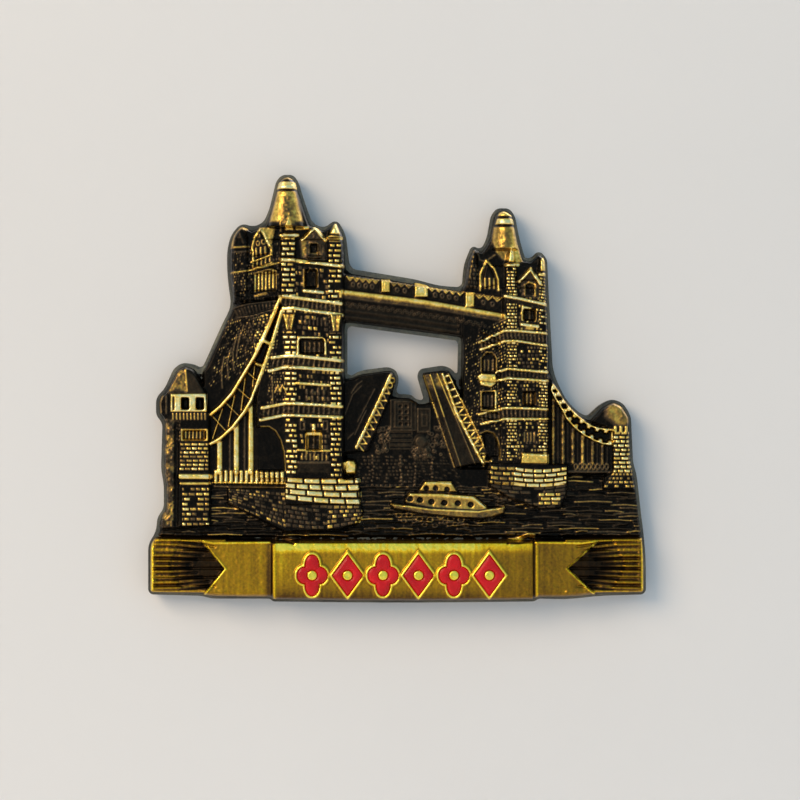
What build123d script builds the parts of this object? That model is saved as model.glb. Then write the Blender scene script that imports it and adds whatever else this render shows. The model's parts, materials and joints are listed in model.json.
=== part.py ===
from build123d import *
from math import cos, radians, tan
import os

# A metal relief magnet: a river bridge with two stone towers, a high walkway and
# two raised leaves, over a ribbon banner. It stands upright in this frame. X runs
# along the bridge, Z is up and the relief faces -Y. The origin lies on the contact
# plane, which is the back of the magnets, halfway between the two magnets.
# "Depth" is the distance in front of that plane, so y = -depth. All in mm.

# Driving dimensions
MAGNET_RADIUS = 8.0
MAGNET_THICK = 2.0
MAGNET_EDGE = 0.3
MAGNET_SPREAD = 15.5
GLUE_THICK = 0.1
POCKET_RADIUS = 8.2
CAST_BACK = 1.2
PLATE_FRONT = 3.2
RIM_CHAMFER = 0.35
FRONT_LIMIT = 8.0

RIVER_DEPTH = 3.6
SKYLINE_DEPTH = 3.7
SPAN_DEPTH = 3.9
LEAF_DEPTH = 4.3
TAIL_DEPTH = 4.4
WALKWAY_DEPTH = 4.7
GATE_DEPTH = 4.6
PIER_DEPTH = 5.0
TOWER_DEPTH = 4.9
TOWER_FACE_DEPTH = 5.3
FOLD_DEPTH = 5.2
PANEL_DEPTH = 5.9
ENAMEL_DEPTH = 6.05
TRIM = 0.35

BORDER_WIDTH = 0.35
ENAMEL_FLOOR = 5.3
MOTIF_COUNT = 6
MOTIF_PITCH = 4.95
MOTIF_FIRST = -11.85
MOTIF_LEVEL = -14.65
MOTIF_HALF_WIDTH = 2.1
MOTIF_HALF_HEIGHT = 2.85
MOTIF_EYE = 0.75

# Corners of the outline that turn by more than this many degrees keep a small radius
SHARP_TURN = 74

# Outline of the casting, clockwise from the foot of the left tower's outer turret
LEFT_TOWER_TOP = [
    (-23.3, 23.0), (-23.9, 27.5), (-23.9, 31.0), (-23.3, 33.2), (-21.9, 34.7),
    (-20.2, 34.2), (-18.8, 34.8), (-18.0, 36.5), (-17.0, 40.6), (-16.2, 41.5),
    (-14.6, 41.5), (-13.9, 40.6), (-12.8, 37.1), (-11.9, 34.7), (-10.3, 34.0),
    (-8.5, 35.3), (-7.2, 33.2), (-6.9, 30.5), (-6.6, 28.3),
]
WALKWAY_TOP = [(2.7, 26.8), (5.8, 25.9), (9.1, 25.7)]
RIGHT_TOWER_TOP = [
    (9.4, 29.0), (10.5, 31.6), (11.8, 31.0), (12.6, 32.5), (13.2, 35.8), (14.0, 36.8),
    (15.8, 36.8), (16.6, 35.7), (17.2, 32.5), (18.0, 29.8), (18.8, 29.8), (19.9, 30.9),
    (21.1, 29.8), (21.4, 23.6), (21.9, 14.3),
]
RIGHT_FLANK = [
    (22.5, 12.4), (23.8, 9.8), (25.4, 8.2), (26.7, 7.5), (28.6, 9.3), (30.3, 10.0),
    (31.8, 9.4), (32.9, 7.7), (33.2, 1.0), (33.7, -0.6), (34.4, -6.8), (34.8, -10.0),
]
BASE = [
    (35.0, -13.1), (35.0, -17.5), (28.3, -17.7), (24.2, -18.2), (19.9, -18.1),
    (19.3, -18.5), (0.7, -18.7), (-17.4, -18.5), (-17.9, -18.1), (-26.1, -18.1),
    (-27.5, -17.7), (-35.0, -17.5), (-35.0, -10.4), (-33.9, -8.7),
]
LEFT_FLANK = [
    (-33.7, -6.6), (-32.8, -5.4), (-32.8, -2.0), (-33.2, 0.0), (-33.0, 6.6),
    (-33.9, 7.7), (-33.9, 10.2), (-32.7, 11.4), (-31.4, 14.3), (-30.2, 15.1),
    (-28.6, 14.9), (-27.4, 14.3), (-24.5, 20.7),
]
OUTLINE = LEFT_TOWER_TOP + WALKWAY_TOP + RIGHT_TOWER_TOP + RIGHT_FLANK + BASE + LEFT_FLANK

# The open window between the towers, below the walkway and above the leaves
WINDOW = [
    (-7.0, 20.3), (8.6, 18.2), (8.5, 13.2), (7.6, 14.3), (6.4, 14.7), (3.2, 14.2),
    (2.8, 13.2), (3.8, 9.8), (2.7, 9.9), (2.0, 10.6), (-0.2, 10.7), (0.3, 12.7),
    (-0.1, 14.0), (-1.2, 14.5), (-5.2, 14.0), (-7.0, 12.9),
]

# Footprints of the relief's regions, each drawn freely and then trimmed so that no
# two of them overlap
LEFT_TOWER = [
    (-23.0, 23.4), (-23.4, 27.5), (-23.4, 31.0), (-22.9, 33.0), (-21.9, 34.2),
    (-20.4, 33.4), (-18.4, 34.3), (-17.6, 36.6), (-16.5, 40.5), (-15.4, 41.1),
    (-14.4, 40.5), (-13.3, 37.0), (-12.4, 34.3), (-10.3, 33.5), (-8.6, 34.7),
    (-7.7, 32.9), (-7.5, 30.5), (-7.5, -1.2), (-19.4, -1.2), (-19.8, 10.0),
    (-18.5, 15.2), (-17.5, 18.6), (-16.5, 22.2), (-16.5, 24.2),
]
RIGHT_TOWER = [
    (9.2, 25.3), (9.9, 29.0), (10.8, 31.1), (11.9, 30.4), (13.1, 32.4), (13.8, 35.8),
    (14.9, 36.3), (16.1, 35.6), (16.8, 32.4), (17.6, 29.3), (18.8, 29.2), (19.9, 30.3),
    (20.8, 29.4), (20.9, 23.6), (21.2, 14.0), (21.2, 0.9), (9.2, 0.9),
]
WALKWAY = [(-7.5, 27.5), (14.9, 24.0), (14.9, 21.1), (9.2, 21.9), (9.2, 18.7), (-7.5, 20.9)]
LEFT_LEAF = [(-7.5, 12.4), (-6.0, 13.2), (-0.8, 13.9), (0.0, 12.7), (-4.0, 2.7), (-7.5, 2.4)]
RIGHT_LEAF = [(3.7, 13.5), (7.2, 13.9), (13.3, 1.3), (8.2, 0.3)]
SKYLINE = [
    (-1.0, 10.2), (2.4, 10.0), (3.0, 9.2), (5.4, 9.3), (8.7, 0.2), (12.8, 0.2),
    (12.8, -2.4), (-5.4, -2.4), (-7.5, 2.5), (-4.0, 2.9),
]
LEFT_PIER = [
    (-23.7, -2.5), (-15.7, -2.5), (-15.7, -1.2), (-5.3, -1.2), (-5.3, -3.8),
    (-4.7, -5.9), (-5.6, -7.5), (-8.0, -8.4), (-15.7, -8.7), (-23.7, -4.6),
]
RIGHT_PIER = [
    (12.7, 0.9), (23.9, 0.9), (24.0, -1.4), (23.7, -3.6), (22.9, -5.4), (20.1, -5.4),
    (15.9, -4.0), (12.9, -2.2),
]
LEFT_GATE = [
    (-33.2, 10.0), (-32.1, 11.1), (-30.8, 13.9), (-29.8, 14.5), (-28.6, 14.0),
    (-26.7, 10.8), (-26.4, 8.2), (-26.2, -2.2), (-26.2, -7.8), (-33.1, -8.2),
    (-33.0, -6.8), (-32.2, -5.6), (-32.3, -1.9), (-32.6, 0.0), (-32.4, 6.8), (-33.2, 7.9),
]
RIGHT_GATE = [
    (27.2, 6.8), (28.8, 8.6), (30.3, 9.4), (31.4, 8.8), (32.4, 7.4), (32.7, 1.2),
    (33.0, -0.4), (33.4, -2.7), (28.8, -2.7), (29.0, -0.9), (30.2, -0.3), (30.3, 5.6),
]
LEFT_SPAN = [(-22.8, 23.2), (-24.0, 20.7), (-27.1, 13.9), (-27.1, -2.5), (-15.7, -2.5), (-15.7, 24.2)]
RIGHT_SPAN = [
    (21.2, 14.0), (22.1, 12.2), (23.4, 9.5), (25.2, 7.7), (26.7, 6.9), (30.4, 6.9),
    (30.4, -0.6), (21.2, -0.6),
]
RIVER = [(-33.3, -9.3), (-33.0, -6.0), (-26.3, -2.5), (33.4, -1.0), (33.9, -6.0), (34.2, -9.3)]
BOAT = [
    (-0.9, -4.4), (0.8, -4.0), (1.8, -3.1), (2.9, -2.8), (3.9, -1.5), (7.6, -1.6),
    (8.6, -3.1), (10.7, -3.5), (12.5, -5.1), (15.1, -5.1), (14.8, -6.2), (12.0, -6.9),
    (3.0, -6.1), (-0.8, -5.5),
]
PANEL = [(-17.6, -10.0), (19.2, -10.0), (19.2, -18.1), (0.7, -18.4), (-17.6, -18.1)]
LEFT_FOLD = [(-27.3, -9.8), (-17.6, -9.8), (-17.6, -17.9), (-27.3, -17.6), (-24.2, -13.8)]
RIGHT_FOLD = [(19.2, -9.8), (28.1, -9.8), (23.8, -13.7), (28.1, -17.6), (19.2, -17.9)]
LEFT_TAIL = [(-34.6, -9.6), (-23.9, -9.6), (-23.9, -17.3), (-34.6, -17.2)]
RIGHT_TAIL = [(23.5, -9.6), (34.7, -9.6), (34.7, -17.2), (23.5, -17.3)]


def front(depth):
    """The plane at a depth, seen from the front: its x is X and its y is Z."""
    return Plane(origin=(0, -depth, 0), x_dir=(1, 0, 0), z_dir=(0, -1, 0))


def rounded(points, radius):
    """A closed outline whose corners are arcs. Gentle corners get an arc as wide as the runs allow."""
    corners = [Vector(x, z) for x, z in points]
    count = len(corners)
    edges = []
    last_end = None
    first_start = None
    for i, corner in enumerate(corners):
        before = corners[i - 1] - corner
        after = corners[(i + 1) % count] - corner
        half_turn = radians(180 - before.get_angle(after)) / 2
        room = 0.45 * min(before.length, after.length)
        gentle = half_turn < radians(SHARP_TURN) / 2
        reach = room if gentle else min(radius * tan(half_turn), room)
        start = corner + before.normalized() * reach
        end = corner + after.normalized() * reach
        arc_radius = reach / tan(half_turn)
        inward = (before.normalized() + after.normalized()).normalized()
        middle = corner + inward * (arc_radius / cos(half_turn) - arc_radius)
        if last_end is None:
            first_start = start
        else:
            edges.append(Line(last_end, start))
        edges.append(ThreePointArc(start, middle, end))
        last_end = end
    edges.append(Line(last_end, first_start))
    return make_face(edges)


def outline(points):
    return make_face(Polyline(*points, close=True))


def slab(face, low, high):
    return extrude(front(low) * face, amount=high - low, dir=(0, -1, 0))


def box(x0, x1, z0, z1, low, high):
    return slab(Pos((x0 + x1) / 2, (z0 + z1) / 2) * Rectangle(x1 - x0, z1 - z0), low, high)


def bar(points, width, low, high):
    """A flat strip of one width along a line of points."""
    strips = []
    for (x0, z0), (x1, z1) in zip(points, points[1:]):
        run = Vector(x1 - x0, z1 - z0)
        turn = Vector(1, 0).get_signed_angle(run)
        strip = Pos((x0 + x1) / 2, (z0 + z1) / 2) * Rot(0, 0, turn)
        strips.append(slab(strip * Rectangle(run.length + width / 2, width), low, high))
    return Part() + strips


def column(x, z0, z1, radius, depth):
    """A round column, of which only the front part stands out of the relief."""
    return Pos(x, -depth, (z0 + z1) / 2) * Cylinder(radius, z1 - z0)


def cap(x, z0, z1, low_radius, top_radius, depth):
    """A pointed or blunt conical roof, standing out like the columns."""
    return Pos(x, -depth, (z0 + z1) / 2) * Cone(low_radius, top_radius, z1 - z0)


def trimmed(solid, footprint):
    """Cuts everything outside the footprint and behind the plate's face away."""
    return solid & slab(footprint, PLATE_FRONT, FRONT_LIMIT)


def save(name, solid):
    solid.label = name
    export_step(solid, f"parts/{name}.step")
    print(name, round(solid.volume, 2), len(solid.solids()))


def regions():
    """The footprints, each less the ones listed before it."""
    drawn = {
        "walkway": WALKWAY,
        "left_leaf": LEFT_LEAF,
        "right_leaf": RIGHT_LEAF,
        "left_tower": LEFT_TOWER,
        "right_tower": RIGHT_TOWER,
        "left_pier": LEFT_PIER,
        "right_pier": RIGHT_PIER,
        "left_gatehouse": LEFT_GATE,
        "right_gatehouse": RIGHT_GATE,
        "left_span": LEFT_SPAN,
        "right_span": RIGHT_SPAN,
        "boat": BOAT,
        "skyline": SKYLINE,
        "river": RIVER,
        "ribbon_panel": PANEL,
        "ribbon_fold_left": LEFT_FOLD,
        "ribbon_fold_right": RIGHT_FOLD,
        "ribbon_tail_left": LEFT_TAIL,
        "ribbon_tail_right": RIGHT_TAIL,
    }
    taken = outline(WINDOW)
    kept = {}
    for name, points in drawn.items():
        face = outline(points)
        kept[name] = face - taken
        taken = taken + face
    return kept


def back_plate():
    """The casting's flat back: outline, bevelled rim, window and two magnet pockets."""
    plate = slab(rounded(OUTLINE, 0.8), CAST_BACK, PLATE_FRONT)
    rim = plate.faces().sort_by(Axis.Y)[0].outer_wire().edges()
    plate = chamfer(rim, RIM_CHAMFER)
    plate -= slab(rounded(WINDOW, 0.6), CAST_BACK, PLATE_FRONT)
    for side in (-1, 1):
        pocket = Pos(side * MAGNET_SPREAD, 0) * Circle(POCKET_RADIUS)
        plate -= slab(pocket, CAST_BACK, MAGNET_THICK + GLUE_THICK)
    return plate


def tower(footprint, face_box, columns, caps, cornices, windows, gables):
    """A tower: its side face, the raised front face and the masonry on them."""
    x0, x1, z0, z1 = face_box
    solid = slab(footprint, PLATE_FRONT, TOWER_DEPTH)
    solid += box(x0, x1, z0, z1, PLATE_FRONT, TOWER_FACE_DEPTH)
    for x0, x1, z0, z1 in windows:
        solid -= box(x0, x1, z0, z1, TOWER_DEPTH - TRIM, FRONT_LIMIT)
        sill = box(x0 - TRIM, x1 + TRIM, z0 - TRIM, z0, PLATE_FRONT, TOWER_FACE_DEPTH + TRIM)
        solid += sill
    for points in gables:
        solid += slab(outline(points), PLATE_FRONT, TOWER_FACE_DEPTH + TRIM)
    for x, low, high, radius in columns:
        solid += column(x, low, high, radius, TOWER_DEPTH)
    for x, low, high, low_radius, top_radius in caps:
        solid += cap(x, low, high, low_radius, top_radius, TOWER_DEPTH)
    for points in cornices:
        solid += bar(points, 0.4, PLATE_FRONT, TOWER_FACE_DEPTH + TRIM)
    return trimmed(solid, footprint)


def left_tower(footprint):
    return tower(
        footprint,
        face_box=(-16.3, -7.5, -1.2, 29.0),
        columns=[(-15.2, -1.2, 32.6, 1.05), (-8.7, -1.2, 32.2, 1.0), (-21.9, 25.0, 32.4, 1.0)],
        caps=[
            (-15.5, 34.0, 40.0, 2.5, 1.2), (-15.5, 40.1, 41.1, 1.2, 0.7),
            (-15.0, 33.2, 35.4, 1.0, 0.2), (-8.7, 32.6, 34.7, 1.1, 0.3),
            (-21.9, 32.4, 34.2, 1.1, 0.3),
        ],
        cornices=[
            [(-23.2, 27.7), (-16.3, 29.3), (-7.5, 28.5)],
            [(-22.8, 23.6), (-16.4, 24.2), (-7.7, 23.2)],
            [(-16.6, 22.5), (-7.7, 21.6)],
            [(-17.3, 15.8), (-14.3, 16.0), (-7.6, 15.3)],
            [(-17.7, 14.1), (-14.2, 14.5), (-7.6, 13.9)],
            [(-19.2, 8.8), (-14.3, 9.3), (-7.6, 9.0)],
            [(-19.0, 7.2), (-14.2, 7.8), (-7.6, 7.5)],
            [(-19.2, 0.6), (-7.6, 0.6)],
        ],
        windows=[
            (-12.2, -10.9, 30.0, 31.6), (-12.9, -11.2, 25.6, 28.0), (-20.1, -17.0, 25.1, 27.5),
            (-13.6, -10.2, 16.4, 18.4), (-12.8, -10.5, 2.8, 5.5), (-18.8, -16.6, -0.2, 5.6),
        ],
        gables=[
            [(-13.2, 32.3), (-11.6, 34.0), (-10.1, 32.3)],
            [(-20.3, 30.0), (-19.2, 33.8), (-17.7, 30.4)],
        ],
    )


def right_tower(footprint):
    return tower(
        footprint,
        face_box=(14.5, 21.2, 0.9, 25.5),
        columns=[(15.9, 0.9, 28.9, 0.8), (20.3, 0.9, 27.6, 0.85), (10.6, 25.6, 29.6, 0.7)],
        caps=[
            (15.1, 30.9, 35.5, 1.75, 1.15), (15.1, 35.5, 36.3, 1.1, 0.7),
            (15.9, 29.0, 31.3, 0.8, 0.2), (20.4, 27.8, 30.2, 0.8, 0.3),
            (10.7, 29.6, 31.0, 0.8, 0.2),
        ],
        cornices=[
            [(15.0, 24.4), (21.1, 23.2)],
            [(11.7, 18.1), (15.1, 19.6), (21.2, 19.1)],
            [(11.7, 17.0), (15.1, 18.2), (21.2, 17.5)],
            [(13.8, 13.6), (15.4, 14.1), (21.2, 13.6)],
            [(13.8, 12.5), (15.4, 12.9), (21.2, 12.6)],
            [(11.6, 7.9), (15.3, 8.7), (21.2, 8.5)],
            [(11.6, 6.6), (15.3, 7.2), (21.2, 7.2)],
        ],
        windows=[
            (17.6, 19.3, 21.0, 22.5), (11.9, 13.6, 13.7, 16.4), (17.6, 19.3, 9.2, 10.9),
            (11.9, 13.6, 8.5, 11.0), (12.2, 13.9, 1.9, 5.2),
        ],
        gables=[
            [(17.1, 26.6), (18.7, 28.2), (19.7, 26.6)],
            [(11.7, 25.4), (12.6, 29.2), (13.9, 26.0)],
        ],
    )


def walkway(footprint):
    """The high walkway: lattice band, heavy beam and three shields on the lattice."""
    solid = slab(footprint, PLATE_FRONT, WALKWAY_DEPTH)
    solid += bar([(-7.5, 24.8), (14.9, 21.4)], 0.9, PLATE_FRONT, WALKWAY_DEPTH + 2 * TRIM)
    solid += bar([(-7.5, 27.2), (14.9, 23.8)], 0.3, PLATE_FRONT, WALKWAY_DEPTH + TRIM)
    for x, z in ((-1.6, 25.9), (3.4, 25.2), (10.3, 23.9)):
        solid += box(x - 0.6, x + 0.6, z - 0.8, z + 0.9, PLATE_FRONT, WALKWAY_DEPTH + 2 * TRIM)
    return trimmed(solid, footprint)


def left_leaf(footprint):
    solid = slab(footprint, PLATE_FRONT, LEAF_DEPTH)
    solid += bar([(-0.9, 13.5), (-5.5, 3.2)], 0.55, PLATE_FRONT, LEAF_DEPTH + 2 * TRIM)
    solid += bar([(-7.4, 12.5), (-0.9, 13.4)], 0.4, PLATE_FRONT, LEAF_DEPTH + TRIM)
    return trimmed(solid, footprint)


def right_leaf(footprint):
    solid = slab(footprint, PLATE_FRONT, LEAF_DEPTH)
    for foot, head in ((8.7, 3.9), (9.7, 4.8), (11.3, 6.2), (13.0, 7.0)):
        solid += bar([(head, 13.6), (foot, 0.6)], 0.35, PLATE_FRONT, LEAF_DEPTH + 2 * TRIM)
    return trimmed(solid, footprint)


def gatehouse(footprint, ledges, windows):
    solid = slab(footprint, PLATE_FRONT, GATE_DEPTH)
    for points in ledges:
        solid += bar(points, 0.5, PLATE_FRONT, GATE_DEPTH + TRIM)
    for x0, x1, z0, z1 in windows:
        solid -= box(x0, x1, z0, z1, GATE_DEPTH - 2 * TRIM, FRONT_LIMIT)
    return trimmed(solid, footprint)


def span(footprint, chords, hangers, hanger_foot, rail):
    """A side span: two chain chords, the hangers below them and the parapet."""
    solid = slab(footprint, PLATE_FRONT, SPAN_DEPTH)
    for points in chords:
        solid += bar(points, 0.55, PLATE_FRONT, SPAN_DEPTH + 3 * TRIM)
    for x, top in hangers:
        solid += box(x - 0.3, x + 0.3, hanger_foot, top, PLATE_FRONT, SPAN_DEPTH + 2 * TRIM)
    solid += bar(rail, 1.3, PLATE_FRONT, SPAN_DEPTH + 2 * TRIM)
    return trimmed(solid, footprint)


def pier(footprint, courses, x0, x1):
    """A masonry pier with its courses standing out as bands."""
    solid = slab(footprint, PLATE_FRONT, PIER_DEPTH - TRIM)
    for z in courses:
        solid += box(x0, x1, z - 0.38, z + 0.38, PLATE_FRONT, PIER_DEPTH)
    return trimmed(solid, footprint)


def skyline(footprint):
    solid = slab(footprint, PLATE_FRONT, SKYLINE_DEPTH)
    solid += box(-0.9, 2.4, 5.7, 9.8, PLATE_FRONT, SKYLINE_DEPTH + TRIM)
    solid += box(2.8, 4.6, 5.5, 8.9, PLATE_FRONT, SKYLINE_DEPTH + TRIM)
    solid += box(-5.4, 2.7, -2.4, 1.8, PLATE_FRONT, SKYLINE_DEPTH + TRIM)
    return trimmed(solid, footprint)


def boat(footprint):
    """The cruiser on the river: hull, long cabin and short upper cabin."""
    solid = slab(footprint, PLATE_FRONT, RIVER_DEPTH + TRIM)
    hull = [(-0.9, -4.8), (15.0, -5.4), (12.0, -6.9), (3.0, -6.1)]
    solid += slab(outline(hull), PLATE_FRONT, RIVER_DEPTH + 4 * TRIM)
    cabin = [(1.0, -4.9), (1.9, -3.2), (10.7, -3.6), (12.4, -5.3)]
    solid += slab(outline(cabin), PLATE_FRONT, RIVER_DEPTH + 3 * TRIM)
    upper = [(3.0, -3.0), (3.9, -1.6), (7.6, -1.7), (8.5, -3.2)]
    solid += slab(outline(upper), PLATE_FRONT, RIVER_DEPTH + 2 * TRIM)
    return trimmed(solid, footprint)


def motif(index, grow):
    """One ornament's outline: lozenges and four-petalled flowers take turns."""
    width = MOTIF_HALF_WIDTH + grow
    height = MOTIF_HALF_HEIGHT + grow
    if index % 2:
        return outline([(-width, 0), (0, -height), (width, 0), (0, height)])
    petal_x = width * 0.5
    petal_z = height * 0.5
    flower = Sketch() + [
        Pos(petal_x, 0) * Ellipse(width - petal_x, petal_z * 0.8),
        Pos(-petal_x, 0) * Ellipse(width - petal_x, petal_z * 0.8),
        Pos(0, petal_z) * Ellipse(petal_x * 0.9, height - petal_z),
        Pos(0, -petal_z) * Ellipse(petal_x * 0.9, height - petal_z),
    ]
    return flower


def inlay_place(index):
    return Pos(MOTIF_FIRST + index * MOTIF_PITCH, MOTIF_LEVEL)


def ribbon_panel(footprint):
    """The ribbon's middle, with a raised border round each enamel pocket."""
    solid = slab(footprint, PLATE_FRONT, PANEL_DEPTH)
    for index in range(MOTIF_COUNT):
        place = inlay_place(index)
        solid += slab(place * motif(index, BORDER_WIDTH), ENAMEL_FLOOR, PANEL_DEPTH + TRIM)
        solid -= slab(place * motif(index, 0), ENAMEL_FLOOR, FRONT_LIMIT)
        solid += slab(place * Circle(MOTIF_EYE), ENAMEL_FLOOR, PANEL_DEPTH + TRIM)
    return solid


def enamel_inlay(index):
    face = inlay_place(index) * (motif(index, 0) - Circle(MOTIF_EYE))
    return slab(face, ENAMEL_FLOOR, ENAMEL_DEPTH)


def ribbon_tail(footprint, x0, x1):
    """A ribbon end with the creases of its folded cloth cut along it."""
    solid = slab(footprint, PLATE_FRONT, TAIL_DEPTH)
    for z in (-11.2, -12.5, -13.8, -15.1, -16.3):
        solid -= box(x0, x1, z - 0.15, z + 0.15, TAIL_DEPTH - TRIM, FRONT_LIMIT)
    return solid


def magnet(side):
    """A ferrite disc with broken edges."""
    disc = slab(Pos(side * MAGNET_SPREAD, 0) * Circle(MAGNET_RADIUS), 0, MAGNET_THICK)
    return chamfer(disc.edges(), MAGNET_EDGE)


def glue(side):
    disc = Pos(side * MAGNET_SPREAD, 0) * Circle(MAGNET_RADIUS - MAGNET_EDGE)
    return slab(disc, MAGNET_THICK, MAGNET_THICK + GLUE_THICK)


os.makedirs("parts", exist_ok=True)
area = regions()

save("cast_back_plate", back_plate())
save("cast_left_tower", left_tower(area["left_tower"]))
save("cast_right_tower", right_tower(area["right_tower"]))
save("cast_walkway", walkway(area["walkway"]))
save("cast_left_leaf", left_leaf(area["left_leaf"]))
save("cast_right_leaf", right_leaf(area["right_leaf"]))
save("cast_skyline", skyline(area["skyline"]))
save("cast_left_pier", pier(area["left_pier"], (-1.7, -2.6, -3.5, -4.4), -15.6, -5.0))
save("cast_right_pier", pier(area["right_pier"], (0.4, -0.5, -1.4), 13.0, 23.8))
save("cast_left_gatehouse", gatehouse(
    area["left_gatehouse"],
    ledges=[[(-33.0, 10.5), (-26.7, 10.5)], [(-33.0, 8.0), (-26.5, 8.0)], [(-30.6, -1.3), (-26.0, -1.3)]],
    windows=[(-30.1, -29.2, 8.6, 10.0), (-28.1, -27.2, 8.6, 10.0), (-30.0, -26.9, 4.2, 5.6)],
))
save("cast_right_gatehouse", gatehouse(
    area["right_gatehouse"],
    ledges=[[(29.4, 5.9), (32.6, 5.9)], [(28.9, -1.0), (33.2, -1.0)]],
    windows=[],
))
save("cast_left_span", span(
    area["left_span"],
    chords=[
        [(-16.5, 23.6), (-18.5, 18.5), (-21.6, 12.7), (-24.8, 8.9), (-26.0, 7.9)],
        [(-17.3, 20.2), (-19.8, 12.4), (-22.4, 6.9), (-26.0, 4.0)],
    ],
    hangers=[(-24.8, 4.9), (-22.6, 7.0), (-20.5, 9.8)],
    hanger_foot=-0.5,
    rail=[(-26.0, -1.2), (-15.9, -1.4)],
))
save("cast_right_span", span(
    area["right_span"],
    chords=[
        [(21.9, 11.9), (23.8, 9.0), (26.9, 6.2), (30.3, 5.2)],
        [(21.9, 10.2), (23.8, 7.0), (26.5, 4.6), (29.8, 3.6)],
    ],
    hangers=[(22.0, 9.4), (23.4, 7.2), (24.8, 5.6), (26.2, 4.6), (27.6, 4.1), (28.8, 3.7)],
    hanger_foot=0.2,
    rail=[(24.0, 0.3), (30.0, 0.3)],
))
save("cast_boat", boat(area["boat"]))
save("cast_river", slab(area["river"], PLATE_FRONT, RIVER_DEPTH))
save("ribbon_panel", ribbon_panel(area["ribbon_panel"]))
save("ribbon_fold_left", slab(area["ribbon_fold_left"], PLATE_FRONT, FOLD_DEPTH))
save("ribbon_fold_right", slab(area["ribbon_fold_right"], PLATE_FRONT, FOLD_DEPTH))
save("ribbon_tail_left", ribbon_tail(area["ribbon_tail_left"], -34.3, -23.9))
save("ribbon_tail_right", ribbon_tail(area["ribbon_tail_right"], 23.5, 34.4))
for index in range(MOTIF_COUNT):
    save(f"enamel_inlay_{index + 1}", enamel_inlay(index))
for name, side in (("left", -1), ("right", 1)):
    save(f"magnet_{name}", magnet(side))
    save(f"adhesive_{name}", glue(side))
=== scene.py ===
import json
import math

import bpy
import numpy as np
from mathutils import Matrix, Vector

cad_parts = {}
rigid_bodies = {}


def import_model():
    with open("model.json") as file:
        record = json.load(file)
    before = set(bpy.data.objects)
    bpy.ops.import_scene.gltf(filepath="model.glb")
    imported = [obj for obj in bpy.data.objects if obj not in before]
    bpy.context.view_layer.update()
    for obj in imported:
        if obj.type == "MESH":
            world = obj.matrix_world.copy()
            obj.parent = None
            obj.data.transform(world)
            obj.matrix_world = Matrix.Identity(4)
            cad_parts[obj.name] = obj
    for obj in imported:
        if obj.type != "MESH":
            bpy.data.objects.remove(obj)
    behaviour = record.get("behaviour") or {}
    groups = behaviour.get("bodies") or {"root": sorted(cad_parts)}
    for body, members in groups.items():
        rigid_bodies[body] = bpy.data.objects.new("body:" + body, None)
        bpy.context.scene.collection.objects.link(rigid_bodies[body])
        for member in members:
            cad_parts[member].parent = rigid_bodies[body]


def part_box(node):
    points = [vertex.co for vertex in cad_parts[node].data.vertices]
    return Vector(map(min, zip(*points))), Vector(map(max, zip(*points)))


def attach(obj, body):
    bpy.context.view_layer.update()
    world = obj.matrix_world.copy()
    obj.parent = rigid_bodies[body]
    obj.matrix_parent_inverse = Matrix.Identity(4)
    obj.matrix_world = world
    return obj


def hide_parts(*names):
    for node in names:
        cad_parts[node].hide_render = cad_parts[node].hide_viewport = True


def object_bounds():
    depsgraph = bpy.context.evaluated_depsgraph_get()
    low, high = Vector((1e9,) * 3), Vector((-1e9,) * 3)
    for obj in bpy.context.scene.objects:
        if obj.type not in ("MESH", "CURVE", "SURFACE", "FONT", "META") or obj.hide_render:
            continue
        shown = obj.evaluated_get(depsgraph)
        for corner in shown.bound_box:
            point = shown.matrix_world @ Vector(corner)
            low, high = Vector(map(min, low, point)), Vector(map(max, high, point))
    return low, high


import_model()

# A cast relief magnet. The imported CAD model gives the back plate, the place of every
# region and the large forms. The fine relief is drawn here on one height map, in
# millimetres in front of the contact plane, with a second map for how far the dark
# plating has been rubbed back to bright brass; on the ribbon and the boat that map also
# holds painted light and shade. Each region then becomes its own closed mesh. The
# shared map makes neighbours meet without a seam.
# region and the large forms. The fine relief is drawn here on one height map, in
# millimetres in front of the contact plane, with a second map for how far the dark
# plating has been rubbed back to bright brass. Each region then becomes its own
# closed mesh. The shared map makes neighbours meet without a seam.

CAD_LOW, CAD_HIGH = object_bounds()
MM = 0.001
FAR = 99.0

# the canvas, the back of the relief's meshes and the rounded fall to the rim
PITCH = 0.1
BLOCK = 2
MARGIN = 0.6
FLOOR_DEPTH = 2.4
RIM_CLEAR = 0.3
RIM_WIDTH = 0.7
RIM_DEPTH = 2.75
RIM_SHINE = 0.2

# depths of the plate, the water, the ribbon and the enamel
PLATE_TOP = 3.2
RIVER_TOP = 3.68
PANEL_TOP = 5.9
POCKET_FLOOR = 5.3
ENAMEL_TOP = 6.0

# the enamel ornaments
INLAYS = 6
MOTIF_WIDE = 2.1
MOTIF_TALL = 2.85
BORDER = 0.35
EYE = 0.75

REGIONS = (
    "left_tower", "right_tower", "walkway", "left_leaf", "right_leaf", "skyline", "left_pier",
    "right_pier", "left_gatehouse", "right_gatehouse", "left_span", "right_span", "boat", "river",
)
RIBBONS = ("ribbon_panel", "ribbon_fold_left", "ribbon_fold_right", "ribbon_tail_left", "ribbon_tail_right")
RELIEFS = {f"cast_{name}": f"{name}_relief" for name in REGIONS}
RELIEFS |= {name: f"{name}_relief" for name in RIBBONS}

# Where the CAD model only hints at the detail that is drawn here, its top is cut off.
GROUND = {
    "cast_left_span": 3.9, "cast_right_span": 3.9, "cast_left_leaf": 4.3,
    "cast_right_leaf": 4.3, "cast_walkway": 4.7, "cast_skyline": 3.7,
    "cast_left_tower": 5.35, "cast_right_tower": 5.3, "cast_left_gatehouse": 4.6,
    "cast_right_gatehouse": 4.6,
}
# Above these heights the towers' turned roofs keep their shape, a little sunk.
EAVES = {"cast_left_tower": 32.3, "cast_right_tower": 28.6}
ROOF_SINK = 0.35


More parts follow.
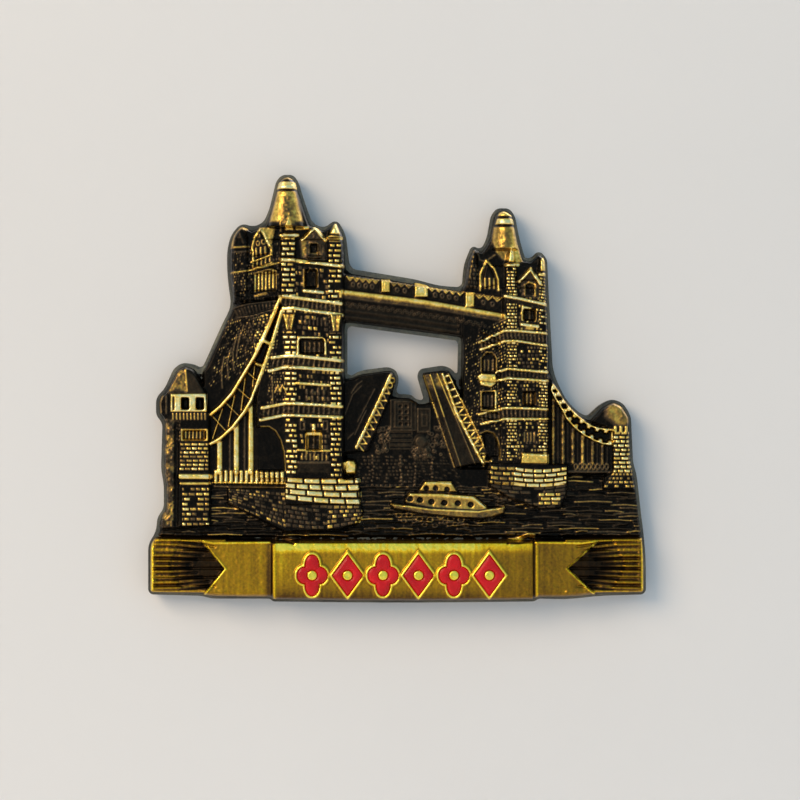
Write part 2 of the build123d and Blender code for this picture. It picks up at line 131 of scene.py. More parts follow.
# ---------------------------------------------------------------- the canvas

def smooth(value):
    value = np.clip(value, 0.0, 1.0)
    return value * value * (3.0 - 2.0 * value)


class Canvas:
    """The height and shine maps over the whole object, indexed [row, column]."""

    def __init__(self, low, high):
        self.x, self.z = (
            start / MM - MARGIN + PITCH * np.arange(
                math.ceil(((end - start) / MM + 2 * MARGIN) / PITCH / BLOCK) * BLOCK + 1
            )
            for start, end in ((low.x, high.x), (low.z, high.z))
        )
        self.X, self.Z = np.meshgrid(self.x, self.z)
        self.height = np.zeros(self.X.shape)
        self.shine = np.zeros(self.X.shape)

    def window(self, x_low, x_high, z_low, z_high):
        """The slices of the maps that cover a box."""
        slices = []
        for axis, low, high in ((self.z, z_low, z_high), (self.x, x_low, x_high)):
            first = max(0, math.floor((low - axis[0]) / PITCH))
            last = min(len(axis), math.ceil((high - axis[0]) / PITCH) + 1)
            slices.append(slice(first, max(first, last)))
        return tuple(slices)

    def around(self, points, reach):
        """The window round some points, as far as a stroke reaches."""
        xs, zs = zip(*points)
        return self.window(min(xs) - reach, max(xs) + reach, min(zs) - reach, max(zs) + reach)

    def noise(self, scale_x, scale_z, seed):
        """Smooth value noise from 0 to 1, with cells of the given size in mm."""
        u = (self.x - self.x[0]) / scale_x
        v = (self.z - self.z[0]) / scale_z
        cells = np.random.default_rng(seed).random((int(v[-1]) + 2, int(u[-1]) + 2))
        i, k = u.astype(int), v.astype(int)
        fu, fv = smooth(u - i)[None, :], smooth(v - k)[:, None]
        low = cells[np.ix_(k, i)] * (1 - fu) + cells[np.ix_(k, i + 1)] * fu
        high = cells[np.ix_(k + 1, i)] * (1 - fu) + cells[np.ix_(k + 1, i + 1)] * fu
        return low * (1 - fv) + high * fv


def blurred(field):
    """A small binomial blur."""
    for _ in range(2):
        padded = np.pad(field, ((0, 0), (1, 1)), mode="edge")
        field = ((padded[:, :-2] + 2 * padded[:, 1:-1] + padded[:, 2:]) / 4).T
    return field


# ------------------------------------------------- reading the CAD model's form

def triangles(name):
    mesh = bpy.data.objects[name].data
    mesh.calc_loop_triangles()
    points = np.empty(len(mesh.vertices) * 3)
    mesh.vertices.foreach_get("co", points)
    corners = np.empty(len(mesh.loop_triangles) * 3, dtype=np.int32)
    mesh.loop_triangles.foreach_get("vertices", corners)
    return (points.reshape(-1, 3) / MM)[corners].reshape(-1, 3, 3)


def depth_map(canvas, name):
    """How far a CAD node reaches to the front over each canvas point, -1 where it isn't."""
    found = np.full(canvas.X.shape, -1.0)
    for a, b, c in triangles(name):
        area = (b[2] - a[2]) * (c[0] - a[0]) - (b[0] - a[0]) * (c[2] - a[2])
        if area > -1e-6:
            continue
        view = canvas.around([(a[0], a[2]), (b[0], b[2]), (c[0], c[2])], 0)
        x, z = canvas.X[view], canvas.Z[view]
        s = ((x - a[0]) * (a[2] - c[2]) + (z - a[2]) * (c[0] - a[0])) / area
        t = ((x - a[0]) * (b[2] - a[2]) - (z - a[2]) * (b[0] - a[0])) / area
        inside = (s >= -1e-6) & (t >= -1e-6) & (s + t <= 1 + 1e-6)
        depth = -(a[1] + s * (b[1] - a[1]) + t * (c[1] - a[1]))
        found[view] = np.where(inside, np.maximum(found[view], depth), found[view])
    return found


def rim_edges():
    """The outline and the window of the plate's back face, without the magnet pockets."""
    plate = triangles("cast_back_plate")
    back = plate[:, :, 1].max()
    seen = {}
    for tri in plate[plate[:, :, 1].min(axis=1) >= back - 1e-3]:
        corners = [tuple(np.round(point[[0, 2]], 3)) for point in tri]
        for start, end in zip(corners, corners[1:] + corners[:1]):
            key = (min(start, end), max(start, end))
            seen[key] = seen.get(key, 0) + 1
    pockets = [round_place(f"magnet_{side}") for side in ("left", "right")]
    return [
        pair for pair, count in seen.items()
        if count == 1 and all(math.dist(pair[0], centre) > radius + 0.5 for centre, radius in pockets)
    ]


def round_place(node):
    """The centre and radius in mm of a round node, seen from the front."""
    low, high = (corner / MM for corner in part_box(node))
    return ((low.x + high.x) / 2, (low.z + high.z) / 2), (high.x - low.x) / 2


def segment_distance(x, z, start, end):
    run_x, run_z = end[0] - start[0], end[1] - start[1]
    length = max(run_x * run_x + run_z * run_z, 1e-12)
    t = np.clip(((x - start[0]) * run_x + (z - start[1]) * run_z) / length, 0, 1)
    return np.hypot(x - start[0] - t * run_x, z - start[1] - t * run_z)


def rim_distance(canvas, plate):
    """Distance in mm from the outline, for points over the plate."""
    far = RIM_CLEAR + RIM_WIDTH + 0.2
    distance = np.where(plate > 0, far, 0.0)
    for start, end in rim_edges():
        view = canvas.around([start, end], far)
        near = segment_distance(canvas.X[view], canvas.Z[view], start, end)
        distance[view] = np.where(plate[view] > 0, np.minimum(distance[view], near), 0.0)
    return distance


def block_owners(canvas, maps, distance):
    """Which relief node owns each block of the canvas, -1 for none."""
    rows, columns = (len(axis) // BLOCK for axis in (canvas.z, canvas.x))
    owner = np.full((rows, columns), -1)
    for number, name in enumerate(RELIEFS):
        owner[maps[name][BLOCK // 2::BLOCK, BLOCK // 2::BLOCK][:rows, :columns] > 0] = number
    wanted = np.zeros(owner.shape, dtype=bool)
    for dk in range(BLOCK + 1):
        for di in range(BLOCK + 1):
            wanted |= distance[dk::BLOCK, di::BLOCK][:rows, :columns] > RIM_CLEAR
    owner[~wanted] = -1
    before = None
    while (wanted & (owner < 0)).any() and not np.array_equal(owner, before):
        before = owner
        for axis, step in ((0, 1), (0, -1), (1, 1), (1, -1)):
            owner = np.where((owner < 0) & wanted, np.roll(before, step, axis=axis), owner)
    return owner


# ------------------------------------------------------------- drawing tools

class Pen:
    """Draws on the canvas in mm from the lower left corner of a CAD node's box.

    After its points a mark takes its width, if it has one, how far it rises and how bright
    it is. 1 is bright brass and 0 is black plating.
    """

    def __init__(self, canvas, node):
        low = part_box(node)[0]
        self.canvas, self.x, self.z = canvas, low.x / MM, low.z / MM

    def view(self, points, reach):
        window = self.canvas.around([(self.x + x, self.z + z) for x, z in points], reach)
        return window, self.canvas.X[window] - self.x, self.canvas.Z[window] - self.z

    def ink(self, window, cover, rise, shine, level=None, mottle=0.0):
        """Raises the metal, or brings it to a level, and sets how bright it is."""
        height, bright = self.canvas.height[window], self.canvas.shine[window]
        speck = self.canvas.speck[window]
        if level is not None:
            height += (level - height) * cover
        height += (rise + 0.25 * mottle * (speck - 0.5)) * cover
        if shine is not None:
            bright += (shine * (1 - mottle * speck) - bright) * cover

    def line(self, points, width=0.35, rise=0.2, shine=0.9, soft=0.09, **how):
        window, u, v = self.view(points, width)
        near = np.full(u.shape, FAR)
        for start, end in zip(points, points[1:]):
            near = np.minimum(near, segment_distance(u, v, start, end))
        self.ink(window, smooth((width / 2 + soft - near) / (2 * soft)), rise, shine, **how)

    def lines(self, many, *style, **how):
        for points in many:
            self.line(points, *style, **how)

    def fill(self, points, rise=0.0, shine=None, soft=0.1, **how):
        """A filled polygon with a soft edge."""
        window, u, v = self.view(points, 2 * soft)
        near = np.full(u.shape, FAR)
        inside = np.zeros(u.shape, dtype=bool)
        for start, end in zip(points, points[1:] + points[:1]):
            near = np.minimum(near, segment_distance(u, v, start, end))
            crosses = (start[1] > v) != (end[1] > v)
            fall = end[1] - start[1] or 1e-9
            inside ^= crosses & (u < start[0] + (v - start[1]) / fall * (end[0] - start[0]))
        cover = smooth(0.5 + np.where(inside, near, -near) / (2 * soft))
        self.ink(window, cover, rise, shine, **how)

    def rect(self, x_low, x_high, z_low, z_high, *style, **how):
        self.fill([(x_low, z_low), (x_high, z_low), (x_high, z_high), (x_low, z_high)], *style, **how)

    def frame(self, x_low, x_high, z_low, z_high, *style, slope=0.0):
        """The outline of a window, whose top and bottom may slope."""
        drop = slope * (x_high - x_low)
        corners = [(x_low, z_low), (x_low, z_high), (x_high, z_high + drop), (x_high, z_low + drop)]
        self.line(corners + corners[:1], *style)

    def disc(self, x, z, radius, rise=0.0, shine=None, tall=1.0, soft=0.1):
        window, u, v = self.view([(x, z)], radius * max(tall, 1.0) + 2 * soft)
        cover = smooth(0.5 + (radius - np.hypot(u - x, (v - z) / tall)) / (2 * soft))
        self.ink(window, cover, rise, shine)

    def ring(self, x, z, radius, width=0.16, rise=0.0, shine=None, tall=1.0):
        soft = 0.08
        window, u, v = self.view([(x, z)], radius * max(tall, 1.0) + width)
        near = np.abs(np.hypot(u - x, (v - z) / tall) - radius)
        self.ink(window, smooth((width / 2 + soft - near) / (2 * soft)), rise, shine)

    def bricks(self, left, right, rows, length, shine, seed, rise=0.1, loss=0.1, vary=0.25,
               fat=0.62, gap=0.22, bow=0.0):
        """Uneven courses of bricks between two upright edges, each a (foot, head) pair.

        loss is the share of the bricks that is missing, vary is how unevenly bright they are,
        fat is a brick's share of its course, and bow is how far the courses sag.
        """
        window, u, v = self.view([*left, *right], 0.3 + abs(bow))
        t = np.full(u.shape, 0.5)
        for _ in range(4):
            x_left = left[0][0] + (left[1][0] - left[0][0]) * t
            x_right = right[0][0] + (right[1][0] - right[0][0]) * t
            s = (u - x_left) / np.maximum(x_right - x_left, 0.05)
            inner = np.clip(s, 0, 1)
            sag = bow * 4 * inner * (1 - inner)
            foot = left[0][1] + (right[0][1] - left[0][1]) * inner - sag
            head = left[1][1] + (right[1][1] - left[1][1]) * inner - sag
            t = np.clip((v - foot) / np.maximum(head - foot, 0.05), -0.5, 1.5)
        wide = math.dist(left[0], right[0])
        tall = math.dist(left[0], left[1]) / rows
        rng = np.random.default_rng(seed)
        luck = rng.random((rows + 1, int(wide / length * 1.4) + 5, 2))
        stretch = length * (0.8 + 0.4 * rng.random(rows + 1))
        shift = rng.random(rows + 1) * 0.5
        row = np.floor(t * rows)
        k = np.clip(row, 0, rows).astype(int)
        across = s * wide / stretch[k] + shift[k] + 0.5 * (row % 2)
        column = np.floor(across)
        i = np.clip(column, 0, luck.shape[1] - 1).astype(int)
        rest_x = np.minimum(across - column, 1 - across + column) * stretch[k]
        rest_x = np.minimum(rest_x, np.minimum(s, 1 - s) * wide + gap / 2) - gap / 2
        rest_z = (fat / 2 - np.abs(t * rows - row - 0.5)) * tall
        cover = smooth(0.5 + np.minimum(rest_x, rest_z) / 0.14)
        cover *= (s > 0) & (s < 1) & (t > 0) & (t < 1) & (luck[k, i, 0] > loss)
        height, bright = self.canvas.height[window], self.canvas.shine[window]
        height += rise * cover * (0.7 + 0.6 * luck[k, i, 1])
        bright += (shine * (1 - vary + 2 * vary * luck[k, i, 1]) - bright) * cover

    def ticks(self, lower, upper, count, width=0.2, rise=0.12, shine=0.6, ends=(0.15, 0.85)):
        """Short upright strokes side by side between two lines of points."""
        for number in range(count):
            share = (number + 0.5) / count
            stroke = [along(lower, share), along(upper, share)]
            self.line([along(stroke, end) for end in ends], width, rise, shine)

    def bars(self, x_low, x_high, z_low, z_high, *style, **how):
        self.ticks([(x_low, z_low), (x_high, z_low)], [(x_low, z_high), (x_high, z_high)], *style, **how)

    def truss(self, lower, upper, count, *style):
        """Crossed braces between two chords."""
        for number in range(count):
            a, b = number / count, (number + 1) / count
            self.line([along(lower, a), along(upper, b)], *style)
            self.line([along(upper, a), along(lower, b)], *style)

    def zigzag(self, lower, upper, count, *style, start=0.0):
        shares = [start + (1 - start) * number / count for number in range(count + 1)]
        self.line([along(upper if n % 2 else lower, share) for n, share in enumerate(shares)], *style)


def along(points, share):
    """The point a share of the way along a line of points."""
    runs = [math.dist(a, b) for a, b in zip(points, points[1:])]
    left = share * sum(runs)
    for (start, end), run in zip(zip(points, points[1:]), runs):
        if left <= run or end is points[-1]:
            part = left / run
            return (start[0] + (end[0] - start[0]) * part, start[1] + (end[1] - start[1]) * part)
        left -= run


def balcony(pen, upper, lower, count, width=0.42, shine=0.95, tick_shine=0.36):
    """A pair of cornice lines with the small brackets between them."""
    pen.fill(upper + lower[::-1], -0.1, 0.02)
    pen.ticks(lower, upper, count, 0.2, 0.12, tick_shine, ends=(0.28, 0.78))
    pen.lines((upper, lower), width, 0.28, shine)


# -------------------------------------------------------------- the drawings

def draw_left_tower(canvas):
    pen = Pen(canvas, "cast_left_tower")
    pen.fill([(0.9, 25.0), (2.4, 20.0), (3.3, 16.0), (4.5, 12.0), (5.1, 8.0), (5.1, 0.9), (8.2, 0.9),
            (8.2, 25.0)], level=4.85, soft=0.9)
    # side face: rough stone
    pen.bricks(((0.4, 24.4), (0.5, 31.6)), ((7.0, 25.4), (7.0, 33.2)), 18, 0.4, 0.42, 11, 0.12, 0.4, 0.9)
    pen.bricks(((1.6, 18.0), (0.8, 23.6)), ((3.6, 18.0), (3.4, 23.4)), 14, 0.45, 0.2, 17, 0.1, 0.4, 0.5)
    pen.bricks(((3.6, 14.6), (3.2, 23.0)), ((6.4, 14.6), (7.0, 24.0)), 21, 0.42, 0.62, 16, 0.14, 0.25, 0.7)
    pen.bricks(((5.2, 8.8), (5.4, 15.0)), ((7.9, 8.8), (7.7, 15.0)), 15, 0.42, 0.42, 12, 0.12, 0.3, 0.8)
    # front face: faint stone between the columns
    pen.bricks(((9.9, 2.6), (9.2, 30.0)), ((14.0, 2.6), (13.8, 29.4)), 36, 0.6, 0.44, 13, 0.1, 0.4, 0.8)
    # columns
    pen.bricks(((7.95, 0.6), (7.1, 34.0)), ((9.45, 0.6), (9.15, 34.0)), 46, 0.8, 0.98, 14, 0.16, 0.06,
            fat=0.46)
    pen.bricks(((14.2, 0.2), (13.75, 33.0)), ((15.6, 0.2), (15.6, 33.0)), 46, 0.8, 0.94, 15, 0.16, 0.06,
            fat=0.46)
    draw_left_spire(pen)
    draw_left_gables(pen)
    draw_left_storeys(pen)


def draw_left_spire(pen):
    body = [(5.5, 35.9), (10.3, 35.9), (9.2, 40.4), (6.6, 40.4)]
    pen.fill(body, 0.0, 0.78, soft=0.25, mottle=0.22)
    pen.fill([(7.2, 35.5), (9.2, 35.5), (8.6, 39.6), (7.4, 39.6)], 0.0, 0.56, soft=0.5, mottle=0.4)
    pen.fill([(6.4, 40.55), (9.4, 40.55), (9.2, 41.55), (6.6, 41.55)], 0.2, 0.95)
    pen.line([(6.5, 40.35), (9.3, 40.35)], 0.22, -0.25, 0.05)
    pen.line([(6.7, 41.75), (9.2, 41.75)], 0.2, -0.25, 0.05)
    pen.fill([(6.8, 41.9), (9.1, 41.9), (8.6, 42.5), (7.4, 42.5)], 0.1, 0.6)
    # small spire on the corner column
    pen.fill([(7.6, 34.8), (8.95, 34.8), (8.35, 36.7)], 0.35, 0.8)
    pen.line([(7.1, 34.1), (9.5, 34.1)], 0.42, 0.3, 0.95)
    pen.line([(7.5, 33.65), (9.1, 33.65)], 0.2, 0.1, 0.6)
    pen.line([(7.1, 34.7), (7.15, 36.0)], 0.22, 0.1, 0.5)
    # right turret
    pen.fill([(13.95, 34.3), (15.45, 34.2), (14.75, 36.1)], 0.35, 0.9)
    pen.line([(13.8, 33.8), (15.7, 33.7)], 0.45, 0.3, 0.95)
    pen.line([(14.0, 33.25), (15.4, 33.2)], 0.2, 0.1, 0.6)
    # left turret, dark with a rubbed rim
    pen.fill([(0.9, 32.6), (1.1, 34.1), (1.8, 34.9), (2.6, 34.4), (2.9, 32.6)], 0.0, 0.03, soft=0.2)
    dome = [(0.3, 32.7), (0.45, 33.9), (0.9, 34.8), (1.6, 35.2), (2.3, 35.0)]
    pen.line(dome, 0.5, 0.15, 0.72, soft=0.2)
    pen.line([(1.4, 34.4), (1.9, 33.0)], 0.16, 0.1, 0.25)
    pen.line([(0.1, 32.35), (2.7, 32.5)], 0.3, 0.25, 0.6)
    pen.line([(0.4, 31.7), (2.6, 31.8)], 0.18, 0.1, 0.3)


def draw_left_gables(pen):
    # pointed gable over the front face
    wall = [(10.3, 30.5), (13.3, 30.4), (13.3, 33.4), (11.9, 35.0), (10.3, 33.6)]
    pen.fill(wall, 0.0, 0.34, soft=0.3, mottle=0.6)
    pen.fill([(9.9, 33.4), (10.6, 33.6), (10.8, 31.6), (10.1, 31.0)], 0.0, 0.58, soft=0.3, mottle=0.3)
    pen.rect(11.3, 12.2, 31.7, 32.9, -0.25, 0.02)
    pen.frame(11.2, 12.3, 31.6, 33.0, 0.2, 0.12, 0.42)
    pen.line([(10.1, 33.5), (11.9, 35.2), (13.4, 33.4)], 0.45, 0.35, 0.95)
    pen.line([(9.4, 35.05), (10.9, 35.15)], 0.42, 0.2, 0.8)
    # arched gable on the side face
    arch = [(3.3, 30.6), (3.15, 32.4), (3.5, 33.8), (4.2, 35.0), (5.0, 34.0), (5.9, 32.7)]
    pen.fill(arch + [(5.7, 31.4)], -0.1, 0.03)
    pen.line(arch[:4], 0.28, 0.25, 0.85)
    slope = [(4.1, 35.3), (5.2, 35.2), (6.4, 35.0), (6.1, 33.9), (5.8, 32.3), (5.5, 32.4), (4.7, 34.2)]
    pen.fill(slope, 0.25, 0.66, mottle=0.3)
    pen.line([(4.1, 35.2), (4.8, 34.2), (5.6, 32.5)], 0.3, 0.15, 0.95)
    pen.ring(4.05, 34.0, 0.2, 0.16, 0.15, 0.45)
    for x, z in ((3.95, 32.95), (4.75, 33.15)):
        pen.ring(x, z, 0.26, 0.16, 0.15, 0.6, tall=1.2)
    pen.ticks([(3.4, 30.8), (5.3, 31.4)], [(3.4, 32.4), (5.3, 32.7)], 3, 0.25, 0.12, 0.7)
    pen.rect(5.6, 6.0, 31.2, 32.7, 0.15, 0.6)
    balcony(pen, [(3.0, 30.3), (5.9, 31.4)], [(2.9, 29.2), (5.9, 30.3)], 5, width=0.25, shine=0.7,
            tick_shine=0.7)


def draw_left_storeys(pen):
    # cornice under the roofs
    pen.line([(0.1, 28.8), (3.0, 29.2), (7.1, 30.3)], 0.28, 0.3, 0.62)
    pen.fill([(7.0, 30.3), (15.9, 29.4), (15.9, 30.1), (9.0, 31.0), (7.0, 31.0)], 0.1, 0.05)
    pen.line([(7.2, 30.65), (8.8, 30.6), (15.8, 29.7)], 0.5, 0.35, 1.0)
    # grille window and its sill
    pen.fill([(3.3, 25.8), (6.4, 26.2), (6.4, 29.3), (3.3, 28.8)], -0.15, 0.02)
    pen.ticks([(3.3, 26.1), (6.3, 26.7)], [(3.3, 28.7), (6.3, 29.3)], 6, 0.26, 0.2, 0.8, ends=(0.04, 0.94))
    pen.line([(3.4, 28.75), (5.9, 29.4), (6.5, 29.1), (6.5, 26.6)], 0.2, 0.2, 0.55)
    pen.line([(3.6, 25.6), (5.1, 25.95)], 0.36, 0.2, 0.6)
    # window of the top storey
    pen.rect(10.6, 12.1, 26.9, 29.3, -0.2, 0.02)
    for x in (10.4, 12.2):
        pen.line([(x, 26.9), (x, 29.2)], 0.3, 0.2, 0.6)
    pen.line([(10.9, 29.0), (11.3, 29.4), (11.8, 29.0)], 0.2, 0.12, 0.5)
    pen.line([(10.4, 26.3), (13.0, 26.05)], 0.45, 0.3, 1.0)
    # second cornice pair
    balcony(pen, [(7.0, 25.5), (8.8, 25.4), (15.6, 24.5)], [(6.7, 23.8), (8.8, 23.9), (15.8, 22.9)], 14,
            width=0.46, shine=1.0)
    balcony(pen, [(0.2, 23.8), (2.6, 24.5), (6.5, 25.0)], [(1.0, 22.6), (3.0, 22.8), (6.3, 23.8)], 12,
            width=0.2, shine=0.3, tick_shine=0.16)
    # tapered brackets under it
    for left, right, foot in ((7.45, 9.15, 20.9), (14.1, 15.6, 20.7)):
        middle = (left + right) / 2
        bracket = [(left, foot + 2.2), (right, foot + 2.1), (middle + 0.35, foot), (middle - 0.35, foot)]
        pen.rect(left - 0.1, right + 0.1, foot - 0.3, foot + 2.3, 0.0, 0.02)
        pen.fill(bracket, 0.3, 0.62, mottle=0.2)
        for head, toe, shine in ((left + 0.15, middle - 0.3, 0.9), (right - 0.15, middle + 0.3, 0.8)):
            pen.line([(head, foot + 2.1), (toe, foot + 0.1)], 0.22, 0.12, shine)
        pen.line([(middle, foot + 2.1), (middle, foot + 0.1)], 0.16, -0.2, 0.25)
    pen.ticks([(9.8, 21.5), (13.7, 21.2)], [(9.8, 23.0), (13.7, 22.5)], 7, 0.18, 0.12, 0.3)
    # wide window with a label moulding
    pen.rect(9.8, 13.1, 17.5, 19.5, -0.05, 0.02)
    for z in (18.0, 18.8):
        pen.ticks([(10.2, z - 0.45), (12.9, z - 0.55)], [(10.2, z + 0.45), (12.9, z + 0.35)], 4, 0.24, 0.12,
                0.32)
    hood = [(9.55, 17.6), (9.55, 19.3), (9.9, 19.75), (12.9, 19.7), (13.35, 19.3), (13.4, 17.5)]
    pen.line(hood, 0.32, 0.25)
    # third cornice pair
    balcony(pen, [(5.9, 16.95), (7.7, 17.2), (9.4, 17.2), (15.8, 16.5)],
            [(5.5, 15.1), (7.8, 15.7), (9.4, 15.6), (15.8, 15.15)], 14, width=0.44, shine=1.0)
    pen.line([(9.4, 13.4), (14.0, 13.1)], 0.38, 0.3)
    for z in (12.2, 11.3):
        pen.ticks([(10.4, z - 0.35), (13.6, z - 0.45)], [(10.4, z + 0.35), (13.6, z + 0.25)], 4, 0.3, 0.12,
                0.32)
    pen.line([(6.3, 12.1), (6.8, 13.1), (7.05, 12.2), (7.4, 13.2), (7.9, 12.0)], 0.2, 0.2, 0.65)
    pen.line([(6.05, 10.6), (5.95, 14.3)], 0.2, 0.2, 0.4)
    # fourth cornice pair
    balcony(pen, [(4.5, 9.9), (7.7, 10.55), (9.4, 10.55), (15.7, 10.1)],
            [(4.3, 8.25), (7.5, 8.9), (9.4, 8.9), (15.7, 8.6)], 16, width=0.42, shine=0.95)
    # archway through the tower's foot
    arch = [(4.3, 7.3), (5.5, 7.3), (6.4, 6.7), (7.1, 5.5), (7.55, 3.8), (7.75, 1.2)]
    pen.fill(arch + [(3.6, 1.2), (3.6, 7.3)], 0.0, 0.0, level=4.1, soft=0.15)
    pen.line(arch, 0.22, 0.35, 0.75)
    # lower window, finial, sill and plinth
    pen.rect(10.8, 12.7, 4.2, 6.4, -0.2, 0.02)
    pen.line([(11.75, 4.3), (11.75, 6.3)], 0.2, 0.2, 0.3)
    pen.line([(10.8, 4.3), (10.8, 6.3), (12.7, 6.3), (12.7, 4.2)], 0.4, 0.25, 0.95)
    pen.line([(11.75, 6.6), (11.75, 7.5)], 0.44, 0.25, 0.95)
    for x in (10.2, 13.4):
        pen.frame(x - 0.3, x + 0.3, 6.9, 8.1, 0.16, 0.2, 0.3)
    pen.line([(9.6, 4.05), (14.0, 3.95)], 0.3, 0.25, 0.78)
    pen.ticks([(9.9, 2.6), (13.8, 2.5)], [(9.9, 3.7), (13.8, 3.5)], 7, 0.2, 0.12, 0.55)
    pen.rect(9.6, 14.1, 0.9, 2.3, 0.05, 0.06)
    pen.line([(9.6, 2.3), (14.0, 2.3)], 0.35, 0.15, 0.3)


def draw_right_tower(canvas):
    pen = Pen(canvas, "cast_right_tower")
    # side face: courses that rise to the right
    pen.bricks(((0.3, 6.0), (0.3, 17.5)), ((4.9, 8.2), (4.9, 20.0)), 28, 0.4, 0.46, 21, 0.1, 0.35, 0.9,
            fat=0.5)
    pen.bricks(((4.8, 6.4), (4.8, 19.9)), ((6.1, 6.8), (6.1, 20.6)), 30, 0.45, 0.68, 27, 0.1, 0.2, 0.4,
            fat=0.5)
    pen.bricks(((1.8, 0.4), (1.4, 6.0)), ((6.0, 0.4), (6.0, 6.6)), 14, 0.42, 0.48, 22, 0.1, 0.3, 0.8,
            fat=0.5)
    pen.bricks(((0.4, 24.6), (0.6, 28.0)), ((2.2, 24.4), (2.2, 28.0)), 6, 0.5, 0.3, 23)
    pen.bricks(((7.5, 0.6), (7.5, 25.0)), ((10.7, 0.6), (10.7, 25.0)), 46, 0.5, 0.52, 24, 0.1, 0.32, 0.8)
    pen.bricks(((6.1, 0.4), (6.1, 27.5)), ((7.6, 0.4), (7.5, 27.5)), 60, 0.62, 0.95, 25, 0.14, 0.1, 0.35,
            fat=0.5, gap=0.18)
    pen.bricks(((10.6, 0.4), (10.7, 26.2)), ((12.0, 0.4), (11.9, 26.0)), 58, 0.62, 0.88, 26, 0.14, 0.1,
            0.35, fat=0.5, gap=0.18)
    draw_right_roofs(pen)
    draw_right_storeys(pen)


def draw_right_roofs(pen):
    roof = [(4.3, 33.2), (7.3, 33.2), (7.7, 30.8), (8.5, 28.3), (7.6, 28.1), (5.7, 28.6), (4.7, 29.6),
            (4.1, 31.2)]
    pen.fill(roof, 0.0, 0.82, soft=0.25, mottle=0.2)
    pen.fill([(4.8, 32.6), (6.6, 32.6), (6.9, 29.4), (5.6, 28.8), (4.6, 30.4)], 0.0, 0.6, soft=0.5,
            mottle=0.3)
    pen.fill([(4.55, 33.5), (7.45, 33.5), (7.3, 34.3), (4.8, 34.3)], 0.2, 1.0)
    pen.line([(4.6, 33.3), (7.3, 33.3)], 0.22, -0.25, 0.04)
    pen.line([(4.8, 34.5), (7.2, 34.5)], 0.2, -0.25, 0.04)
    pen.fill([(4.9, 34.65), (7.1, 34.65), (6.9, 35.2), (6.0, 35.5), (5.1, 35.2)], 0.1, 0.85)
    # corner spire and its ledge
    pen.fill([(6.4, 28.3), (7.25, 28.3), (7.05, 30.3), (6.65, 30.3)], 0.3, 0.85)
    pen.line([(6.0, 27.85), (7.75, 27.85)], 0.45, 0.3, 0.95)
    # pointed gable
    pen.fill([(8.2, 23.5), (10.6, 23.1), (10.7, 25.4), (9.5, 27.1), (8.1, 25.6)], 0.0, 0.15)
    pen.rect(8.9, 9.9, 23.7, 25.2, -0.25, 0.03)
    pen.line([(8.7, 23.6), (8.7, 25.1), (9.3, 25.4)], 0.25, 0.12, 0.5)
    pen.line([(9.3, 25.4), (10.1, 25.1), (10.1, 23.5)], 0.32, 0.15, 0.6)
    pen.line([(7.9, 25.5), (9.5, 27.3), (10.8, 25.2)], 0.45, 0.35, 0.95)
    # arched gable on the side face
    arch = [(2.45, 24.3), (2.5, 26.6), (3.3, 28.5), (4.4, 27.3), (4.95, 25.8), (5.0, 24.3)]
    pen.fill(arch, -0.1, 0.03)
    pen.line(arch, 0.3, 0.25, 0.72)
    pen.bars(2.8, 4.7, 24.3, 26.2, 3, 0.26, 0.12, 0.65)
    pen.line([(3.4, 28.5), (4.6, 29.3)], 0.2, 0.1, 0.4)
    # right turret
    pen.fill([(10.9, 27.0), (10.9, 28.5), (11.4, 29.2), (11.95, 28.5), (11.95, 27.0)], 0.25, 0.85)
    pen.line([(10.8, 26.5), (12.0, 26.5)], 0.5, 0.3)
    # left turret, dark
    for step in range(6):
        pen.disc(1.55 - 0.12 * step, 29.7 - 0.7 * step, 0.16, 0.12, 0.45, tall=1.5)
    pen.line([(2.1, 29.6), (2.4, 28.6), (2.9, 28.4)], 0.18, 0.1, 0.35)


